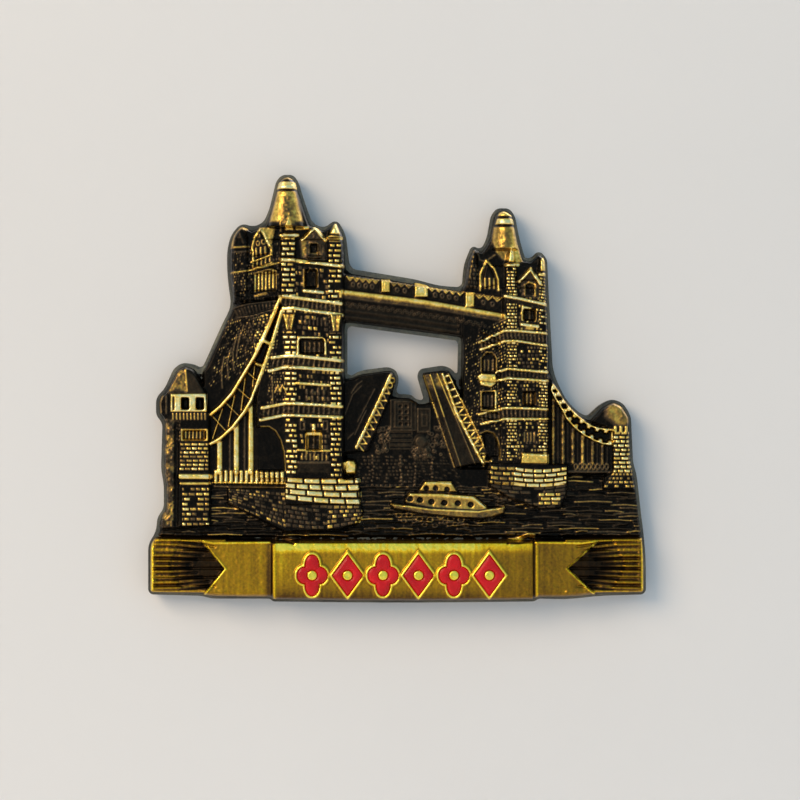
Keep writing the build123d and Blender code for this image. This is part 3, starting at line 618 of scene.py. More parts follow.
def draw_right_storeys(pen):
    pen.fill([(5.9, 22.7), (12.0, 21.6), (12.0, 22.5), (5.9, 23.8)], 0.05, 0.04)
    pen.line([(5.9, 23.45), (8.0, 23.1), (11.9, 22.2)], 0.42, 0.32, 1.0)
    pen.rect(8.6, 10.0, 20.1, 21.7, -0.2, 0.02)
    pen.line([(8.4, 20.2), (8.4, 21.9), (9.4, 21.7)], 0.4, 0.22, 0.85)
    pen.line([(9.6, 21.6), (10.2, 21.4), (10.2, 20.0)], 0.28, 0.18, 0.5)
    pen.line([(9.4, 20.2), (9.4, 21.4)], 0.2, 0.1, 0.4)
    pen.line([(8.2, 19.5), (10.5, 19.2)], 0.42, 0.3, 0.95)
    pen.line([(9.0, 19.0), (9.8, 18.9)], 0.4, 0.2, 0.6)
    balcony(pen, [(2.3, 17.0), (5.8, 18.6), (7.6, 18.6), (12.0, 18.2)],
            [(2.5, 16.0), (5.9, 17.2), (7.6, 17.2), (12.1, 16.5)], 18, width=0.32, shine=0.95)
    # arched window over the balcony on the side face
    arch = [(2.6, 12.8), (2.6, 14.8), (3.3, 15.6), (4.1, 15.6), (4.7, 14.8), (4.7, 12.8)]
    pen.fill(arch, -0.15, 0.02)
    pen.line(arch, 0.25, 0.2, 0.55)
    pen.bars(2.8, 4.5, 12.8, 14.8, 3, 0.2, 0.12, 0.45)
    pen.fill([(2.0, 12.3), (2.6, 12.6), (4.6, 12.5), (4.7, 11.3), (4.0, 10.7), (2.5, 11.0)], 0.55, 0.85)
    pen.line([(2.2, 11.6), (4.6, 11.4)], 0.2, -0.15, 0.5)
    balcony(pen, [(4.7, 12.8), (6.3, 13.3), (11.9, 12.8)], [(4.8, 11.6), (6.3, 12.0), (11.9, 11.6)], 13,
            width=0.34, shine=0.95, tick_shine=0.15)
    # windows of the third storey
    pen.rect(2.8, 4.4, 7.6, 10.0, -0.2, 0.02)
    pen.bars(2.8, 4.4, 7.8, 9.8, 3, 0.18, 0.12, 0.3)
    pen.frame(2.6, 4.6, 7.5, 10.1, 0.24, 0.18, 0.6, slope=0.05)
    pen.line([(4.6, 7.6), (4.6, 10.1)], 0.34, 0.1, 0.85)
    pen.rect(8.2, 10.4, 8.1, 10.1, -0.15, 0.02)
    pen.bars(8.2, 10.4, 8.1, 10.1, 4, 0.3, 0.2, 0.5)
    balcony(pen, [(2.3, 6.9), (5.8, 7.8), (7.8, 7.8), (11.9, 7.6)],
            [(2.6, 5.6), (5.8, 6.3), (7.8, 6.3), (11.9, 6.3)], 16, width=0.33, shine=0.92)
    # archway at the foot and the low window
    arch = [(2.6, 4.3), (3.4, 4.6), (4.3, 4.3), (4.9, 3.3), (5.2, 2.0), (5.2, 0.6)]
    pen.fill(arch + [(3.4, 0.6)], -0.4, 0.0)
    pen.line(arch, 0.26, 0.2, 0.55)
    pen.rect(8.5, 10.1, 2.9, 4.6, -0.15, 0.02)
    pen.bars(8.4, 10.2, 2.9, 4.6, 4, 0.24, 0.12, 0.45)
    pen.fill([(8.1, 0.1), (12.1, 0.0), (12.1, 1.4), (8.3, 1.6)], 0.45, 0.72)
    pen.line([(8.5, 1.3), (11.9, 1.2)], 0.25, 0.1)


def draw_walkway(canvas):
    pen = Pen(canvas, "cast_walkway")
    top = [(0.0, 8.6), (5.0, 8.05), (13.3, 6.95), (22.4, 5.5)]
    beam = [(-0.1, 6.05), (11.4, 4.65), (22.3, 2.75)]
    pen.fill(top + [(22.4, 3.3), (11.4, 5.3), (0.0, 6.7)], -0.2, 0.03)
    for start, end, teeth, shine in ((0.02, 0.22, 5, 0.6), (0.29, 0.43, 3, 0.5), (0.53, 0.75, 5, 0.75),
                                     (0.82, 0.99, 3, 0.7)):
        points = []
        for number in range(2 * teeth + 1):
            x, z = along(top, start + (end - start) * number / (2 * teeth))
            points.append((x, z - 0.55 * (number % 2) - 0.1))
        pen.line(points, 0.22, 0.2, shine)
        for number in range(teeth):
            x, z = along(top, start + (end - start) * (number + 0.5) / teeth)
            pen.fill([(x - 0.35, z - 0.05), (x + 0.35, z - 0.1), (x, z - 0.5)], 0.1, shine)
        for number in range(teeth - 1):
            x, z = along(top, start + (end - start) * (number + 1) / teeth)
            pen.ring(x, z - 1.15, 0.22, 0.14, 0.15, 0.32, tall=1.3)
    # heavy rounded beam, darker along its lower side
    pen.line(beam, 1.05, 0.35, 0.87, soft=0.2, mottle=0.12)
    pen.line([(x, z - 0.36) for x, z in beam], 0.5, -0.15, 0.32, soft=0.25, mottle=0.4)
    # soffit: a dotted strip over two smooth ribs
    pen.fill([(0.0, 2.2), (16.1, -0.2), (16.1, 2.9), (0.0, 5.0)], -0.25, 0.03)
    dots = [(0.1, 4.6), (8.0, 3.6), (16.0, 2.3), (20.0, 1.6)]
    for number in range(60):
        x, z = along(dots, (number + 0.5) / 60)
        wave = 0.22 * math.sin(2.3 * number)
        pen.ring(x, z + wave, 0.16, 0.1, 0.12, 0.2)
    for drop in (2.35, 3.2):
        points = [(0.0, 6.1 - drop), (8.0, 5.1 - drop), (16.1, 3.85 - drop)]
        pen.line(points, 0.3, 0.18, 0.1, soft=0.15)
    # three shields
    for x, z, wide, tall in ((5.9, 7.15, 1.25, 1.85), (10.9, 6.6, 1.9, 2.1), (17.7, 5.2, 1.3, 2.0)):
        pen.rect(x - wide / 2, x + wide / 2, z - tall / 2, z + tall / 2, 0.5, 0.9, mottle=0.12)
        pen.frame(x - wide * 0.22, x + wide * 0.22, z - tall * 0.28, z + tall * 0.28, 0.12, -0.08, 0.78)


def draw_leaves(canvas):
    pen = Pen(canvas, "cast_left_leaf")
    for points in ([(1.1, 8.4), (1.9, 9.6), (2.6, 10.1)], [(0.2, 5.4), (1.3, 8.2), (2.5, 9.4)],
                   [(0.6, 2.0), (1.4, 2.8)], [(2.0, 4.4), (4.4, 9.0)], [(1.6, 2.6), (3.2, 6.0)]):
        pen.line(points, 0.12, 0.1, 0.28)
    girder = [(6.6, 10.9), (4.3, 5.9), (1.8, 0.8)]
    edge = [(7.3, 10.2), (5.3, 5.5), (2.8, 0.3)]
    pen.fill(girder + edge[::-1], -0.2, 0.02)
    pen.zigzag(girder, edge, 17, 0.18, 0.22, 0.85, start=0.14)
    pen.ticks(edge, girder, 9, 0.12, 0.05, 0.3)
    for share in (0.02, 0.09):
        x, z = along(girder, share + 0.02)
        pen.ring(x + 0.45, z - 0.3, 0.34, 0.2, 0.2, 0.85)
    pen.line(girder, 0.45, 0.35, 0.98, mottle=0.15)
    pen = Pen(canvas, "cast_right_leaf")
    pen.fill([(0.0, 13.1), (3.5, 13.3), (9.5, 1.0), (4.3, 0.0)], -0.2, 0.05)
    pen.fill([(0.1, 13.1), (2.4, 13.2), (3.2, 11.4), (0.7, 11.2)], 0.0, 0.5, soft=0.6, mottle=0.4)
    ridges = (([(0.05, 12.9), (4.35, 0.1)], 0.9), ([(0.95, 13.1), (5.3, 0.1)], 0.75),
              ([(1.95, 13.2), (7.3, 0.5)], 0.75))
    for ridge, shine in ridges:
        upper = [ridge[0], along(ridge, 0.45)]
        pen.line(ridge, 0.17, 0.28, 0.6 * shine)
        pen.line(upper, 0.2, 0.1, shine)
    inner = [(2.7, 13.1), (4.75, 7.5), (7.3, 2.6), (8.5, 0.4)]
    outer = [(3.55, 13.2), (6.3, 7.4), (8.4, 3.2), (9.5, 1.0)]
    for number in range(5):
        share = 0.02 + 0.075 * number
        pen.line([along(inner, share), along(outer, share)], 0.28, 0.25, 0.95)
    pen.zigzag(inner, outer, 15, 0.2, 0.22, 0.85, start=0.34)
    pen.line(inner, 0.42, 0.35, 0.98, mottle=0.15)
    pen.line(outer, 0.24, 0.35, 0.92)


def draw_skyline(canvas):
    pen = Pen(canvas, "cast_skyline")
    pen.bricks(((1.9, 0.0), (1.9, 4.5)), ((10.3, 0.0), (10.3, 4.5)), 9, 0.6, 0.16, 41, 0.1, 0.3, fat=0.5)
    pen.bricks(((10.3, 0.2), (10.3, 4.4)), ((18.0, -0.6), (14.0, 4.4)), 11, 0.8, 0.14, 42, 0.1, 0.4,
            fat=0.5)
    rng = np.random.default_rng(43)
    for x in (4.1, 8.1, 10.1, 12.4):
        for number in range(9):
            pen.disc(x + rng.uniform(-0.15, 0.15), 0.4 + 0.5 * number, 0.14, 0.15, rng.uniform(0.1, 0.4))
    # near building: two outlines and two columns of windows, with a lower one beside it
    pen.rect(6.5, 10.1, 7.9, 12.2, 0.15, 0.05)
    pen.frame(6.6, 10.1, 8.0, 12.3, 0.16, 0.15, 0.22)
    pen.frame(7.2, 9.5, 8.5, 12.0, 0.12, 0.1, 0.25)
    for z in (8.9, 9.75, 10.6, 11.4):
        for x in (7.9, 8.75):
            pen.rect(x - 0.25, x + 0.25, z - 0.25, z + 0.25, -0.2, 0.0)
            pen.frame(x - 0.28, x + 0.28, z - 0.28, z + 0.28, 0.1, 0.1, 0.28)
    pen.rect(10.3, 12.2, 7.6, 11.2, 0.12, 0.06)
    pen.frame(10.4, 12.1, 7.8, 11.0, 0.14, 0.12, 0.28)
    pen.frame(11.0, 11.7, 8.6, 10.2, 0.12, 0.1, 0.22)
    for step in range(5):
        z = 5.4 + 0.64 * step
        pen.frame(6.4, 9.6, z, z + 0.42, 0.12, 0.12, 0.2)
    pen.disc(10.8, 6.4, 0.85, 0.4, 0.16, soft=0.3)
    # trees as small curls
    for low, high in (((4.4, 4.6), (6.4, 8.4)), ((11.6, 4.2), (14.2, 8.4)), ((9.8, 4.2), (11.8, 5.6))):
        for _ in range(34):
            x, z = rng.uniform(low, high)
            pen.ring(x, z, rng.uniform(0.12, 0.3), 0.12, 0.14, rng.uniform(0.08, 0.4))
    # bright stone at the foot of the left tower
    pen.fill([(-0.1, 3.5), (0.5, 3.9), (1.5, 3.75), (1.8, 3.2), (1.7, 1.9), (0.2, 1.8)], 0.0, 0.9,
            level=4.8, soft=0.2, mottle=0.2)
    pen.line([(0.3, 2.0), (1.6, 2.0)], 0.3, -0.1, 0.5, soft=0.2)


def draw_piers(canvas):
    pen = Pen(canvas, "cast_left_pier")
    pen.bricks(((0.1, 3.9), (0.1, 6.2)), ((8.2, 0.6), (8.2, 5.6)), 8, 0.75, 0.42, 51, 0.1, 0.2, 0.8)
    pen.bricks(((8.1, 0.8), (8.1, 4.6)), ((14.0, 0.4), (14.0, 3.9)), 6, 1.0, 0.26, 52, 0.09, 0.2, 0.4,
            bow=0.15)
    pen.bricks(((14.0, 0.4), (14.0, 3.9)), ((18.8, 1.3), (18.9, 3.8)), 5, 0.9, 0.5, 58, 0.1, 0.1, 0.6)
    pen.bricks(((8.1, 4.6), (8.1, 7.8)), ((18.9, 3.8), (18.5, 7.8)), 4, 2.2, 0.93, 53, 0.2, 0.0, 0.1,
            gap=0.3, fat=0.7, bow=0.18)
    pen = Pen(canvas, "cast_right_pier")
    pen.bricks(((1.5, 0.2), (0.0, 3.6)), ((10.9, 0.4), (11.2, 3.6)), 6, 1.3, 0.25, 54, 0.09, 0.2, bow=0.5)
    pen.bricks(((0.1, 3.5), (0.1, 6.2)), ((3.6, 3.2), (3.6, 6.0)), 4, 1.2, 0.6, 55, 0.15, 0.05, bow=0.1)
    pen.bricks(((3.6, 3.2), (3.6, 6.0)), ((11.1, 3.4), (11.1, 6.0)), 4, 1.6, 0.97, 56, 0.2, 0.0, 0.12,
            gap=0.2, bow=0.35)
    pen.bricks(((7.2, 0.5), (7.2, 2.3)), ((10.2, 0.5), (10.2, 2.3)), 3, 1.3, 0.85, 57, 0.15, 0.0)


def draw_gatehouses(canvas):
    pen = Pen(canvas, "cast_left_gatehouse")
    pen.fill([(3.6, 22.3), (3.7, 19.2), (1.0, 19.2), (2.6, 22.2)], 0.1, 0.62, soft=0.35, mottle=0.5)
    pen.fill([(3.7, 22.2), (5.4, 21.2), (6.1, 19.0), (3.8, 19.0)], 0.15, 0.1, soft=0.2)
    pen.line([(3.6, 22.3), (3.8, 19.3)], 0.26, 0.1, 0.65, soft=0.12)
    # lantern storey with two windows
    pen.rect(1.5, 6.6, 16.4, 18.9, 0.35, 0.97)
    for x in (3.5, 5.6):
        pen.rect(x - 0.52, x + 0.52, 16.75, 18.35, -0.6, 0.02)
    pen.line([(1.9, 16.7), (1.9, 18.4)], 0.25, -0.3, 0.1)
    pen.line([(0.1, 16.3), (-0.05, 17.6), (0.3, 18.6)], 0.35, 0.15, 0.55)
    pen.disc(0.45, 17.3, 0.22, -0.3, 0.02, tall=2.2)
    pen.line([(0.9, 16.2), (0.9, 18.6)], 0.25, 0.15, 0.35)
    pen.bars(1.6, 6.6, 15.2, 16.3, 10, 0.26, 0.2)
    pen.bricks(((0.3, 12.2), (0.2, 15.4)), ((2.9, 12.2), (2.9, 15.2)), 6, 0.6, 0.3, 61, 0.1, 0.3)
    pen.rect(3.1, 6.6, 12.5, 13.8, -0.15, 0.02)
    pen.bars(3.3, 6.4, 12.5, 13.8, 6, 0.2, 0.15, 0.7)
    pen.frame(3.1, 6.6, 12.45, 13.85, 0.26, 0.2, 0.85)
    pen.bricks(((2.7, 8.1), (2.9, 12.1)), ((6.8, 8.1), (6.7, 12.1)), 7, 0.95, 0.7, 62, 0.12, 0.08, 0.4,
            gap=0.2, fat=0.5)
    pen.line([(2.8, 7.35), (7.0, 7.3)], 0.7, 0.35, 0.95, soft=0.15)
    pen.line([(2.9, 6.35), (7.0, 6.35)], 0.36, 0.25, 0.75)
    pen.bricks(((3.1, 0.3), (3.1, 5.9)), ((6.9, 0.3), (6.9, 5.9)), 8, 0.95, 0.66, 63, 0.12, 0.1, 0.4,
            gap=0.2, fat=0.5)
    # rough side face and the dark joint beside it
    pen.fill([(0.1, 0.2), (0.4, 8.0), (0.3, 15.4), (2.1, 15.2), (2.0, 0.2)], 0.0, 0.55, soft=0.2,
            mottle=0.75)
    pen.line([(2.3, 14.8), (2.3, 8.2), (2.2, 0.6)], 0.6, -0.3, 0.0, soft=0.15)

    pen = Pen(canvas, "cast_right_gatehouse")
    pen.fill([(2.2, 11.8), (3.4, 12.6), (4.9, 12.2), (6.0, 10.2), (5.6, 8.9), (3.6, 9.0), (2.0, 10.2)], 0.2,
            0.62, soft=0.5, mottle=0.3)
    pen.bars(3.0, 5.3, 8.1, 8.8, 3, 0.42, 0.2, 0.85)
    pen.bricks(((3.0, 2.3), (3.1, 8.2)), ((6.0, 2.3), (5.8, 8.2)), 10, 1.0, 0.97, 65, 0.18, 0.03, fat=0.55)
    pen.bricks(((1.7, 0.2), (2.9, 2.4)), ((6.2, 0.2), (6.0, 2.4)), 4, 0.8, 0.6, 66, 0.12, 0.15, fat=0.55)


def draw_left_span(canvas):
    """The dark far side with its faint curved cables, and the parapet."""
    pen = Pen(canvas, "cast_left_span")
    pen.bricks(((0.6, 14.0), (3.2, 23.5)), ((9.6, 18.0), (9.8, 25.5)), 22, 0.4, 0.46, 71, 0.1, 0.45, 0.95)
    cables = (
        [(3.9, 19.6), (3.3, 17.6), (3.5, 15.2)], [(5.6, 22.8), (4.9, 20.6), (4.6, 18.4)],
        [(2.9, 18.4), (2.5, 16.4), (2.6, 14.0)], [(4.6, 21.2), (4.1, 19.0), (4.2, 16.6)],
    )
    pen.lines(cables, 0.16, 0.12, 0.42)
    pen.ticks([(1.3, 0.7), (11.4, 0.6)], [(1.3, 2.4), (11.4, 2.3)], 14, 0.46, 0.3, 0.9, ends=(0.05, 0.95))
    pen.line([(1.3, 0.75), (11.4, 0.65)], 0.26, 0.2, 0.8)
    pen.line([(1.5, 0.2), (6.0, 0.15), (11.4, 0.1)], 0.22, 0.15, 0.4)


def draw_left_chain(canvas):
    """The braced chain and its hangers, which pass in front of the tower's side face."""
    pen = Pen(canvas, "cast_left_span")
    upper = [(10.7, 26.6), (10.0, 24.6), (8.4, 20.9), (7.3, 18.7), (5.7, 16.1), (4.0, 13.3), (2.4, 11.5),
             (1.0, 10.3)]
    lower = [(10.9, 24.8), (9.6, 20.5), (8.6, 17.6), (7.6, 14.9), (6.7, 12.4), (5.7, 10.7), (4.1, 8.6),
             (2.4, 7.0), (1.0, 6.2)]
    pen.fill(upper + lower[::-1], 0.0, 0.01, level=3.75, soft=0.15)
    for x, top in ((3.7, 8.2), (5.75, 10.8)):
        pen.line([(x, 2.5), (x, top)], 0.22, 0.12, 0.28)
    for x, top in ((2.2, 6.9), (4.55, 9.1), (6.6, 12.2)):
        pen.line([(x, 2.2), (x, top)], 0.72, 0.3, soft=0.12)
    pen.truss(lower[3:], upper[3:], 4, 0.15, 0.4, 0.8)
    pen.lines([upper, lower], 0.56, 0.0, 0.88, level=5.0, soft=0.14)
    pen.line([(8.5, 20.6), (9.1, 20.3)], 0.6, 0.2, 0.8, level=4.9)
    pen.line([(7.4, 17.4), (8.0, 17.2)], 0.5, 0.2, 0.8, level=4.9)


def draw_right_span(canvas):
    pen = Pen(canvas, "cast_right_span")
    upper = [(0.6, 12.6), (1.8, 11.2), (2.5, 10.1), (3.2, 9.1), (4.2, 8.1), (5.3, 7.2), (6.4, 6.65),
             (7.5, 6.4), (9.1, 6.2)]
    lower = [(0.4, 11.9), (0.9, 10.9), (1.3, 10.2), (2.05, 9.0), (2.65, 7.8), (3.75, 6.6), (5.0, 5.6),
             (6.4, 4.85), (7.5, 4.4), (8.8, 4.2)]
    for number in range(6):
        x = 0.7 + 1.38 * number
        top = min((z for px, z in lower if px <= x + 0.3), default=10.5)
        pen.line([(x, 1.7), (x, top)], 0.46, 0.28, 0.62, soft=0.1, mottle=0.5)
        pen.line([(x + 0.7, 1.7), (x + 0.7, top - 0.6)], 0.1, 0.1, 0.2)
    pen.fill(upper + lower[::-1], 0.0, 0.0, level=3.7)
    for points, turn in ((upper, -1), (lower, 1)):
        for number in range(9):
            share = (number + 0.5 + 0.25 * turn) / 9
            x, z = along(points, share)
            pen.disc(x + 0.12 * turn, z + 0.2 * turn, 0.36, 1.0, 0.97)
    pen.lines([upper, lower], 0.26, 0.0, level=4.9)
    pen.line([(9.0, 6.2), (8.9, 4.4)], 0.3, 0.2, 0.85)
    for number in range(8):
        pen.ring(3.9 + 0.62 * number, 1.1, 0.24, 0.14, 0.2, 0.45, tall=1.6)
    pen.line([(3.0, 0.4), (9.2, 0.35)], 0.3, 0.18, 0.28)


def draw_river(canvas):
    pen = Pen(canvas, "cast_river")
    rng = np.random.default_rng(81)
    water = canvas.height < RIVER_TOP
    height, shine = canvas.height.copy(), canvas.shine.copy()
    for row in range(20):
        z = 0.2 + 0.42 * row
        x = rng.uniform(-2, 1)
        while x < 67:
            run = rng.uniform(1.5, 6)
            tilt = rng.uniform(-0.18, 0.18)
            points = [(x, z), (x + run / 2, z + 0.12 + tilt / 2), (x + run, z + tilt)]
            bright = 0.8 * rng.random() ** 2
            pen.line(points, 0.15, rng.uniform(0.2, 0.5), bright, soft=0.1)
            x += run + rng.uniform(-0.4, 1.2)
    for number in range(10):
        x = 33.6 + 1.45 * number
        z = 2.5 + 0.3 * math.sin(1.9 * number) + 0.03 * (number - 4) ** 2
        pen.ring(x, z, 0.42, 0.14, 0.15, 0.55, tall=0.8)
        pen.ring(x + 0.7, z - 0.8, 0.34, 0.12, 0.12, 0.4, tall=0.8)
    canvas.height = np.where(water, canvas.height, height)
    canvas.shine = np.where(water, canvas.shine, shine)


def draw_boat(canvas):
    pen = Pen(canvas, "cast_boat")
    # painted light and shade: the hull and cabins are brown, with bright strips along their upper edges,
    # which face up to the light
    hull = [(-0.1, 2.2), (0.5, 1.5), (3.9, 1.0), (9.1, 0.35), (14.1, 0.3), (15.9, 0.9), (16.0, 1.85),
            (12.4, 1.15), (5.6, 1.45), (2.0, 2.0)]
    pen.fill(hull, 0.0, 0.47, level=5.0, soft=0.14, mottle=0.25)
    pen.line([(0.1, 2.2), (2.0, 1.9), (5.6, 1.4), (12.4, 1.1), (15.9, 1.75)], 0.22, 0.15, 0.85)
    cabin = [(1.9, 2.5), (2.7, 3.8), (7.0, 3.75), (11.6, 3.4), (13.7, 1.6), (12.4, 1.35), (5.6, 1.75)]
    pen.fill(cabin, 0.0, 0.6, level=4.9, soft=0.14, mottle=0.2)
    pen.line([(2.6, 3.5), (7.0, 3.4), (11.6, 3.0), (13.2, 1.8)], 0.36, 0.1, 0.92, soft=0.2)
    for x, z in ((2.7, 2.9), (4.1, 2.75), (5.7, 2.5), (7.5, 2.35), (9.4, 2.3), (11.2, 2.1)):
        pen.disc(x, z, 0.4, -0.35, 0.03, tall=0.9)
    pen.fill([(3.9, 4.0), (4.8, 5.4), (8.5, 5.35), (9.4, 3.85)], 0.0, 0.66, level=4.7, soft=0.14)
    pen.line([(4.9, 5.1), (8.4, 5.05)], 0.36, 0.1, 0.92, soft=0.15)
    for x, z in ((5.0, 4.35), (6.3, 4.35), (7.9, 4.2)):
        pen.disc(x, z, 0.36, -0.3, 0.03, tall=1.05)
    pen.line([(2.9, 3.78), (7.0, 3.72), (11.5, 3.4)], 0.18, -0.12, 0.25)


def draw_ribbon(canvas):
    for node, side in (("ribbon_tail_left", 1), ("ribbon_tail_right", -1)):
        draw_tail(canvas, node, side)
    draw_fold(canvas, "ribbon_fold_left", 9.7, 3.3, 0.0, 0.54)
    draw_fold(canvas, "ribbon_fold_right", 0.0, 4.6, 8.9, 0.45)
    pen = Pen(canvas, "ribbon_panel")
    # painted light and shade on the panel: a bright strip along its top, which faces up to the light, a
    # darker lower part, which faces down, and a darker right end
    pen.rect(0.1, 36.7, 0.1, 8.4, 0.0, 0.58, soft=0.2)
    pen.rect(0.1, 36.7, 7.1, 8.4, 0.06, 1.0, soft=0.5)
    pen.rect(0.1, 36.7, -1.0, 1.5, -0.1, 0.3, soft=1.4)
    pen.rect(30.0, 37.5, 0.1, 7.3, 0.0, 0.42, soft=2.0)
    for crease, beside in ((0.05, 0.5), (36.75, 37.2)):
        pen.line([(beside, 0.2), (beside, 8.2)], 0.3, 0.1, 0.8, soft=0.2)
        pen.line([(crease, 0.0), (crease, 8.5)], 0.24, -0.6, 0.05, soft=0.14)
    pen.line([(0.3, 8.3), (0.9, 9.1), (2.0, 9.0), (3.6, 8.5)], 0.5, 0.35, 0.28)
    pen.line([(0.9, 8.5), (2.2, 8.4), (3.2, 8.1)], 0.2, -0.2, 0.05)
    pen.line([(33.4, 8.5), (34.6, 8.7), (36.0, 9.3), (36.8, 9.2)], 0.6, 0.35, 0.76)
    pen.line([(33.0, 8.2), (34.6, 8.2), (36.2, 8.5)], 0.2, -0.2, 0.1)


def draw_fold(canvas, node, inner, notch, outer, shine):
    """A fold of the ribbon: painted shade beside the panel, which shadows it, brighter outward, cut to a
    swallow tail.
    """
    pen = Pen(canvas, node)
    outline = [(inner, 0.1), (inner, 8.0), (outer, 8.0), (notch, 4.1), (outer, 0.1)]
    pen.fill(outline, 0.0, shine)
    side = 1 if outer > inner else -1
    # painted shade along the fold next to the panel, which shadows it
    painted_shade = [(inner, 0.1), (inner, 8.0), (inner + 0.7 * side, 8.0), (inner + 0.7 * side, 0.1)]
    pen.fill(painted_shade, 0.0, 0.3, soft=0.6)
    pen.line([(outer, 8.0), (notch, 4.1), (outer, 0.1)], 0.28, 0.18, 0.95)
    pen.line([(outer - 0.2 * side, 8.0), (outer * 0.5 + notch * 0.5, 7.7), (inner, 7.8)], 0.25, 0.1)


def draw_tail(canvas, node, side):
    """A tail of the ribbon: dark wedge creases run in from its outer end to a dark notch."""
    low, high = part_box(node)
    wide = (high.x - low.x) / MM
    tall = (high.z - low.z) / MM
    pen = Pen(canvas, node)
    near, far = (0.2, wide - 0.2) if side > 0 else (wide - 0.2, 0.2)
    span = far - near
    pen.rect(0.0, wide, 0.0, tall, 0.0, 0.05)
    cloth = [(near, 0.0), (near, tall), (near + 0.78 * span, tall), (near + 0.38 * span, tall / 2),
             (near + 0.78 * span, 0.0)]
    pen.fill(cloth, 0.0, 0.46, soft=0.8, mottle=0.2)
    creases = 10
    for number in range(creases):
        z = tall * (number + 0.5) / creases
        off = (z - tall / 2) / (tall / 2)
        tip = near + span * (0.5 + 0.4 * abs(off))
        bent = tall / 2 + off * tall * 0.4
        middle = (near + 0.45 * (tip - near), z + 0.1 * (bent - z))
        pen.line([(near + 0.35 * span * 0.2, z), middle, (tip, bent)], 0.14, -0.3, 0.0, soft=0.14)
        pen.line([middle, (tip, bent)], 0.34, -0.12, 0.02, soft=0.16)
        above = [(x, y + 0.5 * tall / creases) for x, y in ((near, z), middle)]
        pen.line(above, 0.16, 0.3, 0.6, soft=0.12)
    pen.line([(near, 0.2), (near, tall - 0.2)], 0.55, 0.15)
    for z in (0.25, tall - 0.25):
        pen.line([(near, z), (far, z)], 0.3, 0.15, 0.66)


# ------------------------------------------------------------ enamel pockets

def motif_distance(index, x, z):
    """Signed distance from a motif's edge, positive inside. Even ones are four-petalled flowers."""
    if index % 2:
        reach = 1 - np.abs(x) / MOTIF_WIDE - np.abs(z) / MOTIF_TALL
        return reach / math.hypot(1 / MOTIF_WIDE, 1 / MOTIF_TALL)
    best = np.full(x.shape, -FAR)
    wide, tall = MOTIF_WIDE / 2, MOTIF_TALL / 2
    petals = (
        (wide, 0.0, wide, tall * 0.8), (-wide, 0.0, wide, tall * 0.8),
        (0.0, tall, wide * 0.9, tall), (0.0, -tall, wide * 0.9, tall),
    )
    for centre_x, centre_z, half_x, half_z in petals:
        u, v = x - centre_x, z - centre_z
        scaled = np.hypot(u / half_x, v / half_z) + 1e-6
        slope = np.hypot(u / half_x ** 2, v / half_z ** 2) / scaled + 1e-6
        best = np.maximum(best, np.clip((1 - scaled) / slope, -9, 9))
    return best


def draw_inlay_borders(canvas):
    """A raised bright border round each pocket, the pocket's floor, and a bright eye in it."""
    for index in range(INLAYS):
        (x, z), _ = round_place(f"enamel_inlay_{index + 1}")
        window = canvas.around([(x, z)], MOTIF_TALL + 1)
        u, v = canvas.X[window] - x, canvas.Z[window] - z
        inside = motif_distance(index, u, v)
        height, shine = canvas.height[window], canvas.shine[window]
        border = smooth((BORDER / 2 + 0.1 - np.abs(inside + BORDER / 2)) / 0.16)
        pocket = smooth(0.5 + inside / 0.12)
        eye = smooth(0.5 + (EYE - np.hypot(u, v)) / 0.16)
        height += (PANEL_TOP - height) * smooth((BORDER + 0.5 + inside) / 0.3)
        height += 0.3 * border * (1 - pocket)
        height += (POCKET_FLOOR - height) * pocket
        height += (PANEL_TOP + 0.3 - height) * eye
        groove = smooth(1 - np.abs(inside + BORDER + 0.18) / 0.22)
        shine += (0.4 - shine) * 0.6 * groove
        shine += (0.04 - shine) * pocket
        shine += (1.0 - shine) * np.maximum(border * (1 - pocket), eye)


def inlay(index):
    """One pool of glossy enamel, a little domed, with its hem sunk behind the border."""
    (x, z), _ = round_place(f"enamel_inlay_{index + 1}")
    step, spare = 0.07, 0.21
    xs, zs = (np.arange(-reach - spare, reach + spare + 0.01, step) for reach in (MOTIF_WIDE, MOTIF_TALL))
    u, v = np.meshgrid(xs, zs)
    inside = np.minimum(motif_distance(index, u, v), np.hypot(u, v) - EYE)
    top = ENAMEL_TOP + 0.1 * smooth(inside / 0.5) - 0.18 * smooth((0.06 - inside) / 0.1)
    middle = (inside[:-1, :-1] + inside[1:, :-1] + inside[:-1, 1:] + inside[1:, 1:]) / 4
    return shell(f"enamel_{index + 1}", x + xs, z + zs, top, middle > -0.05, POCKET_FLOOR - 0.15, 1)[0]


# -------------------------------------------------------------------- meshes

def solid(name, points, faces):
    """A new object from points in mm, smooth but for faces of many corners."""
    mesh = bpy.data.meshes.new(name)
    mesh.from_pydata((np.array(points) * MM).tolist(), [], faces)
    mesh.polygons.foreach_set("use_smooth", [len(face) < 6 for face in faces])
    mesh.update()
    piece = bpy.data.objects.new(name, mesh)
    bpy.context.collection.objects.link(piece)
    return piece


